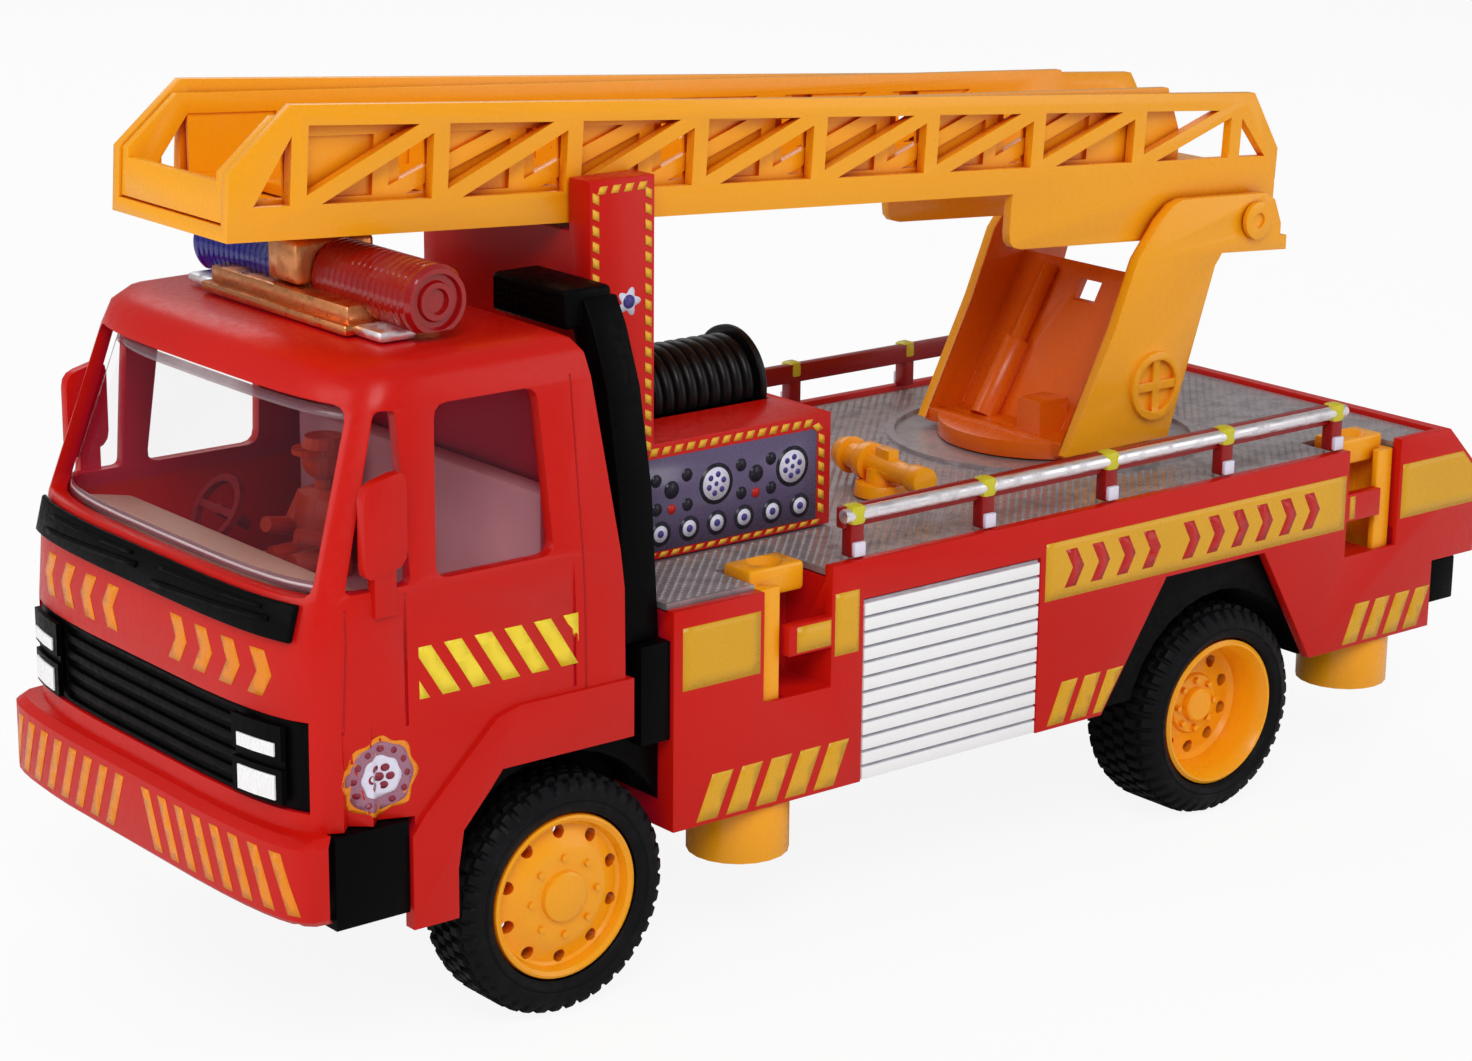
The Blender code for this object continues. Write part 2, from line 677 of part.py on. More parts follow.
def make_cab(truck):
    """The cab shell: one red moulding with its bumper, fenders, mirrors and openings."""
    shell_bottom = CAB_BOTTOM_Z + CAB_WALL
    shell = ring_loft([cab_ring(z) for z in cab_levels(shell_bottom, CAB_TOP_Z)], "cab")
    roof_inside = CAB_TOP_Z - CAB_WALL
    inside = [cab_ring(z, CAB_WALL) for z in cab_levels(CAB_BOTTOM_Z - OVERRUN, roof_inside)]
    cut(shell, ring_loft(inside, "inside"))
    wide = HALF_WIDTH + OVERRUN
    step_front = BUMPER_THICK - FRONT_OVERHANG
    step_rear = -ARCH_CAB_FRONT - FENDER_LEG
    cut(
        shell,
        box(
            (step_front, -wide, CAB_BOTTOM_Z - OVERRUN),
            (step_rear + BODY_WALL / 2, wide, BUMPER_TOP_Z),
        ),
        box(
            (-FRONT_OVERHANG - OVERRUN, -wide, CAB_BOTTOM_Z - OVERRUN),
            (step_front + BUMPER_EDGE, wide, SILL_Z + BUMPER_EDGE * 2),
        ),
    )

    bumper_rings = []
    for z, edge in (
        (SILL_Z, BUMPER_EDGE),
        (SILL_Z + BUMPER_EDGE, 0),
        (BUMPER_TOP_Z - BUMPER_EDGE, 0),
        (BUMPER_TOP_Z, BUMPER_EDGE),
    ):
        ring = []
        for k in range(CAB_NOSE_STEPS + 1):
            t = math.pi * k / CAB_NOSE_STEPS
            c, s = math.cos(t), math.sin(t)
            y = math.copysign(abs(c) ** (2 / CAB_NOSE_POWER), c) * (HALF_WIDTH - edge)
            x = edge - FRONT_OVERHANG + BUMPER_THICK * (1 - abs(s) ** (2 / CAB_NOSE_POWER))
            ring.append((x, y, z))
        bumper_rings.append(ring)
    bumper = ring_loft(bumper_rings, "bumper")
    hollow = box(
        (step_front - BUMPER_THICK / 2, -CAB_HALF_WIDTH + CAB_WALL, SILL_Z - OVERRUN),
        (step_front + OVERRUN, CAB_HALF_WIDTH - CAB_WALL, BUMPER_TOP_Z - CAB_WALL),
    )
    fuse(shell, cut(bumper, hollow))

    fender = [
        (CAB_TAIL - SEAT_GAP, ARCH_CAB_TOP_Z + FLARE_BAND),
        (-ARCH_CAB_FRONT * 0.44, ARCH_CAB_TOP_Z + FLARE_BAND),
        (-ARCH_CAB_FRONT * 0.64, ARCH_CAB_TOP_Z + FLARE_BAND * 0.88),
        (-ARCH_CAB_FRONT - FENDER_LEG * 0.72, BUMPER_TOP_Z),
        (-ARCH_CAB_FRONT - FENDER_LEG, BUMPER_TOP_Z - FLARE_BAND * 0.3),
        (-ARCH_CAB_FRONT - FENDER_LEG, CAB_BOTTOM_Z),
        (-ARCH_CAB_FRONT + CAB_WALL, CAB_BOTTOM_Z),
        (CAB_TAIL - SEAT_GAP, CAB_BOTTOM_Z),
    ]
    for _, side in SIDES:
        outer, inner = side * HALF_WIDTH, side * (CAB_HALF_WIDTH - CAB_WALL * 0.6)
        fuse(shell, plate(fender, min(outer, inner), max(outer, inner)))

    arch = [
        (CAB_TAIL + OVERRUN, ARCH_CAB_TOP_Z),
        (-ARCH_CAB_FRONT * 0.60, ARCH_CAB_TOP_Z),
        (-ARCH_CAB_FRONT * 0.73, ARCH_CAB_TOP_Z - FLARE_BAND * 0.34),
        (-ARCH_CAB_FRONT * 0.95, ARCH_CAB_TOP_Z - FLARE_BAND * 0.87),
        (-ARCH_CAB_FRONT, ARCH_CAB_TOP_Z - FLARE_BAND * 1.5),
        (-ARCH_CAB_FRONT, CAB_BOTTOM_Z - OVERRUN),
        (CAB_TAIL + OVERRUN, CAB_BOTTOM_Z - OVERRUN),
    ]
    cut(shell, plate(arch, -wide, wide))

    screen = rounded(
        [
            (-SCREEN_HALF_BOTTOM, SCREEN_BOTTOM_Z),
            (SCREEN_HALF_BOTTOM, SCREEN_BOTTOM_Z),
            (SCREEN_HALF_TOP, SCREEN_TOP_Z),
            (-SCREEN_HALF_TOP, SCREEN_TOP_Z),
        ],
        CORNER_ROUND,
    )
    screen_back = -CAB_NOSE + CAB_NOSE_ROUND * 1.8
    cut(shell, plate(screen, -FRONT_OVERHANG - OVERRUN, screen_back, "YZ"))
    door_glass = rounded(
        [
            (-DOOR_GLASS_FRONT, SIDE_GLASS_BOTTOM_Z),
            (-DOOR_GLASS_REAR, SIDE_GLASS_BOTTOM_Z),
            (-DOOR_GLASS_REAR - DOOR_GLASS_RAKE / 2, SIDE_GLASS_TOP_Z),
            (-DOOR_GLASS_FRONT + DOOR_GLASS_RAKE, SIDE_GLASS_TOP_Z),
        ],
        CORNER_ROUND,
    )
    quarter_glass = rounded(
        [
            (-QUARTER_GLASS_FRONT, SIDE_GLASS_BOTTOM_Z),
            (-QUARTER_GLASS_REAR, SIDE_GLASS_BOTTOM_Z),
            (-QUARTER_GLASS_REAR, SIDE_GLASS_TOP_Z),
            (-QUARTER_GLASS_FRONT + QUARTER_GLASS_RAKE, SIDE_GLASS_TOP_Z),
        ],
        CORNER_ROUND / 2,
    )
    cut(shell, plate(door_glass, -wide, wide), plate(quarter_glass, -wide, wide))
    grille_hole = box(
        (-FRONT_OVERHANG - OVERRUN, -GRILLE_HALF_WIDTH, GRILLE_BOTTOM_Z),
        (-CAB_NOSE + CAB_NOSE_ROUND, GRILLE_HALF_WIDTH, GRILLE_TOP_Z),
    )
    cut(shell, grille_hole)

    for _, side in SIDES:
        face = side * CAB_HALF_WIDTH
        near, far = sorted((face - side * DOOR_SEAM_DEPTH, face + side * OVERRUN))
        for seam in (-DOOR_SEAM_FRONT, DOOR_SEAM_REAR):
            groove = box(
                (seam, near, ARCH_CAB_TOP_Z + FLARE_BAND + DOOR_SEAM_WIDTH),
                (seam + DOOR_SEAM_WIDTH, far, SIDE_GLASS_BOTTOM_Z - DOOR_SEAM_WIDTH),
            )
            cut(shell, groove)
        foot = side * (CAB_HALF_WIDTH - CAB_WALL)
        tip = side * (HALF_WIDTH - SEAT_GAP)
        outline = rounded(
            [
                (-MIRROR_STATION - MIRROR_LENGTH / 2, MIRROR_BOTTOM_Z),
                (-MIRROR_STATION + MIRROR_LENGTH / 2, MIRROR_BOTTOM_Z + MIRROR_THICK),
                (-MIRROR_STATION + MIRROR_LENGTH / 2, MIRROR_BOTTOM_Z + MIRROR_HEIGHT),
                (-MIRROR_STATION - MIRROR_LENGTH / 2, MIRROR_BOTTOM_Z + MIRROR_HEIGHT - MIRROR_THICK),
            ],
            CORNER_ROUND,
        )
        inner = tip - side * MIRROR_THICK
        blade = plate(outline, min(tip, inner), max(tip, inner))
        arm_top = SIDE_GLASS_BOTTOM_Z - MIRROR_THICK / 2
        arm_low = arm_top - MIRROR_THICK * 1.5
        root_y, tip_y = tip - side * MIRROR_THICK * 1.2, tip - side * SEAT_GAP
        stalk = plate(
            [
                (foot, arm_low),
                (tip_y, arm_low),
                (tip_y, MIRROR_BOTTOM_Z + MIRROR_THICK * 2),
                (root_y, MIRROR_BOTTOM_Z + MIRROR_THICK * 2),
                (root_y, arm_top),
                (foot, arm_top),
            ],
            -MIRROR_STATION - MIRROR_THICK,
            -MIRROR_STATION + MIRROR_THICK,
            "YZ",
        )
        fuse(shell, fuse(stalk, blade))
    return finish(shell, "cab_shell", "red plastic", truck)


def make_glazing(truck):
    """The clear insert inside the cab's openings."""
    near, far = CAB_WALL + SEAT_GAP, CAB_WALL + SEAT_GAP + GLASS_THICK
    low, high = SIDE_GLASS_BOTTOM_Z - GLASS_LAP, SCREEN_TOP_Z + GLASS_LAP
    rings = [cab_ring(z, near) for z in cab_levels(low, high)]
    rings += [cab_ring(z, far) for z in reversed(cab_levels(low, high))]
    return finish(ring_loft(rings, "glazing", closed_ends=False), "cab_glazing", "clear", truck)


def make_front_trim(truck):
    """Grille, lamps and the black band under the windscreen."""
    bottom, top = GRILLE_BOTTOM_Z + SEAT_GAP, GRILLE_TOP_Z - SEAT_GAP
    half = GRILLE_HALF_WIDTH - SEAT_GAP
    grille = nose_strip(bottom, top, half, SEAT_GAP + GRILLE_THICK, SEAT_GAP)
    pitch = (top - bottom) / GRILLE_SLATS
    for k in range(GRILLE_SLATS):
        slot_low = bottom + pitch * k + pitch / 4
        slot = nose_strip(
            slot_low, slot_low + pitch / 2, LAMP_INNER_Y - SEAT_GAP,
            SEAT_GAP + GRILLE_SLOT_DEPTH, -SEAT_GAP,
        )
        cut(grille, slot)
    finish(grille, "grille", "black plastic", truck)

    lamp_gap = (top - bottom) / 20
    rows = (
        (bottom + lamp_gap, (bottom + top) / 2 - lamp_gap),
        ((bottom + top) / 2 + lamp_gap, top - lamp_gap),
    )
    for side_name, side in SIDES:
        rings = []
        steps = 4
        for k in range(steps + 1):
            y = side * (LAMP_INNER_Y + LAMP_WIDTH * k / steps)
            low_z, high_z = rows[0][0], rows[1][1]
            mid_low, mid_high = rows[0][1], rows[1][0]
            back = cab_nose_x(y, low_z) - SEAT_GAP / 3
            proud = back - LAMP_PROUD
            shy = back - LAMP_PROUD / 3
            rings.append(
                [
                    (back, y, low_z),
                    (back, y, high_z),
                    (proud, y, high_z),
                    (proud, y, mid_high),
                    (shy, y, mid_high),
                    (shy, y, mid_low),
                    (proud, y, mid_low),
                    (proud, y, low_z),
                ]
            )
        finish(ring_loft(rings, "lamp"), f"headlamps_{side_name}", "shutter white", truck)

    trim = nose_strip(
        TRIM_BOTTOM_Z, TRIM_TOP_Z, TRIM_HALF_WIDTH, -SEAT_GAP, -SEAT_GAP - TRIM_THICK, 20
    )
    finish(trim, "windscreen_trim", "black plastic", truck)


def make_cab_inside(truck):
    """Floor with seats, dashboard, steering wheel and the moulded driver."""
    floor_z = FRONT_LINER_TOP_Z + SEAT_GAP
    floor_top = floor_z + CAB_FLOOR_THICK
    margin = CAB_WALL + SEAT_GAP
    wide = CAB_HALF_WIDTH - margin - SEAT_GAP
    tail = CAB_TAIL - margin - GLASS_THICK * 3
    nose = -CAB_NOSE + CAB_NOSE_ROUND + margin
    inside = box((nose, -wide, floor_z), (tail, wide, floor_top), "floor")
    seat_rear = tail - SEAT_BACK_THICK
    seat_front = seat_rear - SEAT_LENGTH
    cushion = box(
        (seat_front, -SEAT_HALF_WIDTH, floor_z + SEAT_GAP),
        (tail, SEAT_HALF_WIDTH, floor_top + SEAT_HEIGHT),
    )
    softened(cushion, SEAT_GAP * 4)
    back = box(
        (seat_rear, -SEAT_HALF_WIDTH, floor_top + SEAT_HEIGHT / 2),
        (tail - SEAT_GAP, SEAT_HALF_WIDTH, floor_top + SEAT_HEIGHT + SEAT_BACK_HEIGHT),
    )
    softened(back, SEAT_GAP * 4)
    finish(fuse(inside, cushion, back), "cab_interior", "seat grey", truck)

    dash_low, dash_high = floor_top + SEAT_GAP, floor_top + DASH_HEIGHT
    front, rear = -DASH_STATION, -DASH_STATION + DASH_LENGTH
    outline = rounded(
        [
            (front, dash_low),
            (rear - DASH_LENGTH / 3, dash_low),
            (rear - DASH_LENGTH / 4, dash_high - DASH_LENGTH * 0.7),
            (rear, dash_high - DASH_LENGTH * 0.6),
            (rear - DASH_LENGTH / 4, dash_high - DASH_LENGTH * 0.15),
            (front, dash_high),
        ],
        SEAT_GAP * 3,
        2,
    )
    dash_half = SCREEN_HALF_TOP - margin
    finish(plate(outline, -dash_half, dash_half), "dashboard", "dash beige", truck)

    hub = Vector((rear + WHEEL_RING_RADIUS * 0.6, DRIVER_Y, dash_high - DASH_LENGTH * 0.15))
    bm = bmesh.new()
    bmesh.ops.create_cone(
        bm, cap_ends=True, segments=20,
        radius1=WHEEL_RING_RADIUS, radius2=WHEEL_RING_RADIUS, depth=WHEEL_RING_SECTION * 2,
    )
    wheel = from_bmesh("wheel", bm)
    hole = rod(
        (0, 0, -OVERRUN), (0, 0, OVERRUN), WHEEL_RING_RADIUS - WHEEL_RING_SECTION * 2, sides=20
    )
    cut(wheel, hole)
    spoke = box(
        (-WHEEL_RING_SECTION, -WHEEL_RING_RADIUS + WHEEL_RING_SECTION, -WHEEL_RING_SECTION * 0.8),
        (WHEEL_RING_SECTION, WHEEL_RING_RADIUS - WHEEL_RING_SECTION, WHEEL_RING_SECTION * 0.8),
    )
    column = rod((0, 0, -WHEEL_RING_RADIUS * 1.12), (0, 0, 0), WHEEL_RING_SECTION * 1.6, sides=12)
    fuse(wheel, spoke, column)
    wheel.data.transform(Matrix.Rotation(-WHEEL_TILT, 4, "Y"))
    finish(wheel, "steering_wheel", "black plastic", truck, hub)
    return seat_rear, floor_top + SEAT_HEIGHT


def make_driver(truck, seat_rear, seat_top):
    """The moulded driver: a plain figure with a cap, seated on the right."""
    head_radius = SEAT_LENGTH * 0.26
    hip = Vector((seat_rear - head_radius * 1.45, DRIVER_Y, seat_top + SEAT_GAP))
    chest_top = hip + Vector((head_radius * 0.1, 0, head_radius * 3.6))
    rings = []
    for up_share, long_share, wide_share in (
        (0.00, 1.05, 1.75),
        (0.30, 1.00, 1.60),
        (0.70, 1.05, 1.85),
        (0.92, 0.85, 1.70),
        (1.00, 0.50, 0.90),
    ):
        middle = hip.lerp(chest_top, up_share)
        rings.append(
            [
                (
                    middle.x + head_radius * long_share * math.cos(a),
                    middle.y + head_radius * wide_share * math.sin(a),
                    middle.z,
                )
                for a in (2 * math.pi * k / 16 for k in range(16))
            ]
        )
    figure = ring_loft(rings, "driver")
    neck_top = chest_top + Vector((0, 0, head_radius * 0.5))
    fuse(figure, rod(chest_top - Vector((0, 0, head_radius * 0.3)), neck_top, head_radius * 0.45, sides=12))
    bm = bmesh.new()
    bmesh.ops.create_uvsphere(bm, u_segments=16, v_segments=12, radius=head_radius)
    head = moved(from_bmesh("head", bm), neck_top + Vector((0, 0, head_radius * 0.85)))
    fuse(figure, head)
    brim_z = neck_top.z + head_radius * 1.15
    crown = rod(
        (neck_top.x, neck_top.y, brim_z),
        (neck_top.x, neck_top.y, brim_z + head_radius * 0.75),
        head_radius * 1.08,
        head_radius * 0.85,
        sides=16,
    )
    peak = rod(
        (neck_top.x - head_radius * 0.55, neck_top.y, brim_z + head_radius * 0.05),
        (neck_top.x - head_radius * 0.55, neck_top.y, brim_z + head_radius * 0.28),
        head_radius * 0.95,
        sides=16,
    )
    fuse(figure, fuse(crown, peak))
    for _, side in SIDES:
        shoulder = chest_top + Vector((0, side * head_radius * 1.35, -head_radius * 0.55))
        elbow = shoulder + Vector((-head_radius * 0.8, side * head_radius * 0.25, -head_radius * 1.5))
        hand = elbow + Vector((-head_radius * 1.5, -side * head_radius * 0.35, head_radius * 0.5))
        arm = rod(shoulder, elbow, head_radius * 0.52, head_radius * 0.44, sides=12)
        fuse(arm, rod(elbow + Vector((0, 0, head_radius * 0.1)), hand, head_radius * 0.44, head_radius * 0.36, sides=12))
        fuse(figure, arm)
        knee = hip + Vector((-head_radius * 2.2, side * head_radius * 0.85, head_radius * 0.62))
        thigh = rod(
            hip + Vector((0, side * head_radius * 0.75, head_radius * 0.62)),
            knee, head_radius * 0.58, head_radius * 0.5, sides=12,
        )
        fuse(figure, thigh)
    return finish(figure, "driver_figure", "driver red", truck)


def make_light_bar(truck):
    """Roof bar: a bright base, a centre box and a blue and a red barrel."""
    low = CAB_TOP_Z + SEAT_GAP
    middle = -LIGHT_BAR_STATION
    top = low + LIGHT_BASE_HEIGHT
    axis_z = low + BEACON_LIFT + BEACON_RADIUS
    base_half = LIGHT_BASE_WIDTH / 2
    base_middle = middle - LIGHT_BASE_SETBACK
    base = box(
        (base_middle - base_half, -LIGHT_BASE_HALF_LENGTH, low),
        (base_middle + base_half, LIGHT_BASE_HALF_LENGTH, top),
    )
    softened(base, SEAT_GAP * 3)
    reach = LIGHT_BAR_HALF_LENGTH + OVERRUN
    floor_z = low + TROUGH_FLOOR
    trough = rod((middle, -reach, axis_z), (middle, reach, axis_z), BEACON_RADIUS + SEAT_GAP)
    below = (middle - BEACON_RADIUS * 2, -reach - OVERRUN, low - BEACON_RADIUS)
    cut(trough, box(below, (middle + BEACON_RADIUS * 2, reach + OVERRUN, floor_z)))
    finish(cut(base, trough), "light_bar_base", "chrome", truck)
    inner = LIGHT_CENTRE_HALF_LENGTH
    centre = box(
        (middle - base_half * 0.8, -inner, top + SEAT_GAP),
        (middle + base_half * 0.66, inner, axis_z + BEACON_RADIUS),
    )
    softened(centre, SEAT_GAP * 3)
    key_end = inner - SEAT_GAP * 2
    key = rod((middle, -key_end, axis_z), (middle, key_end, axis_z), BEACON_RADIUS - SEAT_GAP)
    fuse(centre, key)
    flat = (middle + BEACON_RADIUS * 2, reach + OVERRUN, floor_z + SEAT_GAP)
    finish(cut(centre, box(below, flat)), "light_bar_centre", "chrome", truck)
    for name, side, paint in (("beacon_red", -1, "red lens"), ("beacon_blue", 1, "blue lens")):
        start = inner + SEAT_GAP
        end = LIGHT_BAR_HALF_LENGTH
        ridge = BEACON_RADIUS / 6
        profile = [
            (0, end),
            (BEACON_RADIUS - ridge * 2, end),
            (BEACON_RADIUS - ridge, end - ridge / 2),
            (BEACON_RADIUS, end - ridge * 1.5),
            (BEACON_RADIUS, start),
            (0, start),
        ]
        barrel = turned(profile, 24)
        barrel.data.transform(Matrix.Rotation(0 if side < 0 else math.pi, 4, "Z"))
        moved(barrel, (middle, 0, axis_z))
        finish(cut(barrel, box(below, flat)), name, paint, truck)


def make_air_intake(truck):
    """The black intake pipe behind the cab's left side, with its head turned inward."""
    foot_z = BULKHEAD_TOP_Z + SEAT_GAP
    shoulder_z = INTAKE_TOP_Z - INTAKE_HEAD_HEIGHT / 4
    rings = []
    for share, setback in INTAKE_BEND_SHARES:
        z = foot_z + (shoulder_z - foot_z) * share
        y = HALF_WIDTH - setback
        rings.append(
            [
                (INTAKE_STATION - INTAKE_DEPTH / 2, -y - INTAKE_WIDTH / 2, z),
                (INTAKE_STATION + INTAKE_DEPTH / 2, -y - INTAKE_WIDTH / 2, z),
                (INTAKE_STATION + INTAKE_DEPTH / 2, -y + INTAKE_WIDTH / 2, z),
                (INTAKE_STATION - INTAKE_DEPTH / 2, -y + INTAKE_WIDTH / 2, z),
            ]
        )
    pipe = ring_loft(rings, "pipe")
    head_low = INTAKE_TOP_Z - INTAKE_HEAD_HEIGHT
    head = box(
        (INTAKE_STATION - INTAKE_DEPTH, -y - INTAKE_WIDTH * 0.4, head_low),
        (INTAKE_STATION + INTAKE_DEPTH / 2 - SEAT_GAP, -y + INTAKE_HEAD_LENGTH, INTAKE_TOP_Z),
    )
    softened(head, SEAT_GAP * 3)
    finish(fuse(pipe, head), "air_intake", "black plastic", truck)


def notch_places():
    """Each jack: name, side, the station of its notch's front edge and the way its column faces."""
    for side_name, side in SIDES:
        for end_name, start, facing in (("front", NOTCH_FRONT, 1), ("rear", NOTCH_REAR, -1)):
            yield f"{end_name}_{side_name}", side, start, facing


def column_place(side, start, facing):
    """The middle of a jack's column: against the notch edge that the column backs onto."""
    back = start + SEAT_GAP if facing > 0 else start + NOTCH_LENGTH - SEAT_GAP
    outer = HALF_WIDTH - JACK_SLOT_WALL - RUN_GAP
    return back + facing * JACK_COLUMN_DEPTH / 2, side * (outer - JACK_COLUMN_WIDTH / 2)


def body_outline(shrink=0.0):
    """The rear body's side view, as (station, height)."""
    tail = BODY_REAR - shrink
    return [
        (BODY_FRONT + shrink, SILL_Z),
        (tail - TAIL_STEP, SILL_Z),
        (tail - TAIL_STEP, STEP_UP_Z + shrink),
        (tail, STEP_UP_Z + shrink),
        (tail, BODY_RIM_Z - TAIL_CHAMFER),
        (tail - TAIL_CHAMFER, BODY_RIM_Z),
        (BODY_FRONT + shrink, BODY_RIM_Z),
    ]


def make_rear_body(truck):
    """The red body: a box open below, with a tray on top, wheel arches and jack notches."""
    body = plate(body_outline(), -HALF_WIDTH, HALF_WIDTH)
    inner = HALF_WIDTH - BODY_WALL
    hollow = [
        (BODY_FRONT + BODY_WALL, SILL_Z - OVERRUN),
        (BODY_REAR - TAIL_STEP - BODY_WALL, SILL_Z - OVERRUN),
        (BODY_REAR - TAIL_STEP - BODY_WALL, STEP_UP_Z + BODY_WALL),
        (BODY_REAR - BODY_WALL, STEP_UP_Z + BODY_WALL),
        (BODY_REAR - BODY_WALL, BODY_RIM_Z - TAIL_CHAMFER - BODY_WALL / 2),
        (BODY_REAR - TAIL_CHAMFER, TRAY_Z - BODY_WALL),
        (BODY_FRONT + BODY_WALL, TRAY_Z - BODY_WALL),
    ]
    cut(body, plate(hollow, -inner, inner))
    tray = box(
        (BODY_FRONT - OVERRUN, -inner, TRAY_Z),
        (BODY_REAR - TAIL_CHAMFER - BODY_WALL, inner, BODY_RIM_Z + OVERRUN),
    )
    cut(body, tray)
    wide = HALF_WIDTH + OVERRUN
    arch = [
        (WHEELBASE - ARCH_FOOT_FRONT, SILL_Z - OVERRUN),
        (WHEELBASE - ARCH_FOOT_FRONT, SILL_Z),
        (WHEELBASE - ARCH_HEAD_FRONT, ARCH_TOP_Z),
        (WHEELBASE + ARCH_HEAD_REAR, ARCH_TOP_Z),
        (WHEELBASE + ARCH_FOOT_REAR, SILL_Z),
        (WHEELBASE + ARCH_FOOT_REAR, SILL_Z - OVERRUN),
    ]
    cut(body, plate(arch, -wide, wide))
    for _, side, start, _ in notch_places():
        outer, deep = side * (HALF_WIDTH - SEAT_GAP), side * (HALF_WIDTH - NOTCH_DEPTH - BODY_WALL)
        block = box(
            (start - BODY_WALL, min(outer, deep), NOTCH_FLOOR_Z - BODY_WALL),
            (start + NOTCH_LENGTH + BODY_WALL, max(outer, deep), TRAY_Z - BODY_WALL / 2),
        )
        fuse(body, block)
    spine_slot = SPINE_HALF_WIDTH + SEAT_GAP
    cut(
        body,
        box(
            (BODY_FRONT - OVERRUN, -spine_slot, SILL_Z - OVERRUN),
            (BODY_FRONT + BODY_WALL + OVERRUN, spine_slot, SILL_Z + SPINE_THICK + SEAT_GAP),
        ),
    )
    for _, side, start, facing in notch_places():
        open_y, deep = side * wide, side * (HALF_WIDTH - NOTCH_DEPTH)
        notch = box(
            (start, min(open_y, deep), NOTCH_FLOOR_Z),
            (start + NOTCH_LENGTH, max(open_y, deep), BODY_RIM_Z + OVERRUN),
        )
        x, y = column_place(side, start, facing)
        half_depth = JACK_COLUMN_DEPTH / 2 + RUN_GAP
        half_width = JACK_COLUMN_WIDTH / 2 + RUN_GAP
        slot_y = sorted((y - side * half_width, side * (HALF_WIDTH - JACK_SLOT_WALL)))
        slot = box(
            (x - half_depth, slot_y[0], SILL_Z - OVERRUN),
            (x + half_depth, slot_y[1], NOTCH_FLOOR_Z + OVERRUN),
        )
        cut(body, notch, slot)
        edge = start + NOTCH_LENGTH if facing > 0 else start
        tip = edge - facing * CATCH_LENGTH
        root = edge + facing * BODY_WALL
        catch_y = sorted((side * HALF_WIDTH, side * (HALF_WIDTH - BODY_WALL)))
        catch = box(
            (min(tip, root), catch_y[0], CATCH_BOTTOM_Z),
            (max(tip, root), catch_y[1], CATCH_BOTTOM_Z + CATCH_HEIGHT),
        )
        fuse(body, catch)
    for _, side in SIDES:
        face = sorted((side * (HALF_WIDTH - SHUTTER_THICK), side * wide))
        recess = box(
            (SHUTTER_FRONT, face[0], SILL_Z - OVERRUN),
            (SHUTTER_FRONT + SHUTTER_LENGTH, face[1], SHUTTER_TOP_Z),
        )
        cut(body, recess)
    front_rim = box(
        (BODY_FRONT - OVERRUN, -wide, BODY_FRONT_RIM_Z),
        (NOTCH_FRONT + NOTCH_LENGTH / 2, wide, BODY_RIM_Z + OVERRUN),
    )
    post = rod(
        (TURRET_STATION, 0, TRAY_Z - BODY_WALL - OVERRUN),
        (TURRET_STATION, 0, BODY_RIM_Z + SEAT_GAP),
        TURRET_PIN_RADIUS + RUN_GAP,
    )
    cut(body, front_rim, post)
    return finish(body, "rear_body", "red plastic", truck)


def make_shutters(truck):
    """White slatted doors set in the body's sides."""
    low, high = SILL_Z + SEAT_GAP, SHUTTER_TOP_Z - SEAT_GAP
    pitch = (high - low) / SHUTTER_SLATS
    back, face = HALF_WIDTH - SHUTTER_THICK + SEAT_GAP, HALF_WIDTH
    outline = [(-back, low)]
    for k in range(SHUTTER_SLATS):
        z = low + pitch * k
        outline += [
            (-face, z),
            (-face, z + pitch * SLAT_FACE_SHARE),
            (SLAT_GROOVE - face, z + pitch * SLAT_SLOPE_SHARE),
            (SLAT_GROOVE - face, z + pitch * SLAT_FLOOR_SHARE),
        ]
    outline += [(SLAT_GROOVE - face, high), (-back, high)]
    for side_name, side in SIDES:
        shutter = plate(
            outline, SHUTTER_FRONT + SEAT_GAP, SHUTTER_FRONT + SHUTTER_LENGTH - SEAT_GAP, "YZ"
        )
        if side > 0:
            mirrored(shutter)
        finish(shutter, f"shutter_{side_name}", "shutter white", truck)


def make_deck(truck):
    """The bright tread plate in the body's tray, with the ring round the turntable."""
    low = TRAY_Z + SEAT_GAP
    high = low + DECK_THICK
    inner = HALF_WIDTH - BODY_WALL - SEAT_GAP
    front, rear = BODY_FRONT + SEAT_GAP, BODY_REAR - TAIL_CHAMFER - BODY_WALL - SEAT_GAP
    deck = box((front, -inner, low), (rear, inner, high), "deck")
    below, above = (TURRET_STATION, 0, low - OVERRUN), (TURRET_STATION, 0, high + OVERRUN)
    ring_foot = (TURRET_STATION, 0, low + DECK_THICK / 2)
    ring_top = (TURRET_STATION, 0, high + DECK_RING_RISE)
    ring = rod(ring_foot, ring_top, DECK_RING_OUTER, sides=40)
    cut(ring, rod(below, above, DECK_RING_OUTER - DECK_RING_WIDTH, sides=40))
    fuse(deck, ring)
    for _, side, start, _ in notch_places():
        deep, open_y = side * (HALF_WIDTH - NOTCH_DEPTH), side * (HALF_WIDTH + OVERRUN)
        notch = box(
            (start - SEAT_GAP, min(deep, open_y), low - OVERRUN),
            (start + NOTCH_LENGTH + SEAT_GAP, max(deep, open_y), high + OVERRUN),
        )
        cut(deck, moved(notch, (0, -side * SEAT_GAP, 0)))
    cut(deck, rod(below, above, TURRET_PIN_RADIUS + RUN_GAP))
    finish(deck, "deck", "silver deck", truck)
    return high


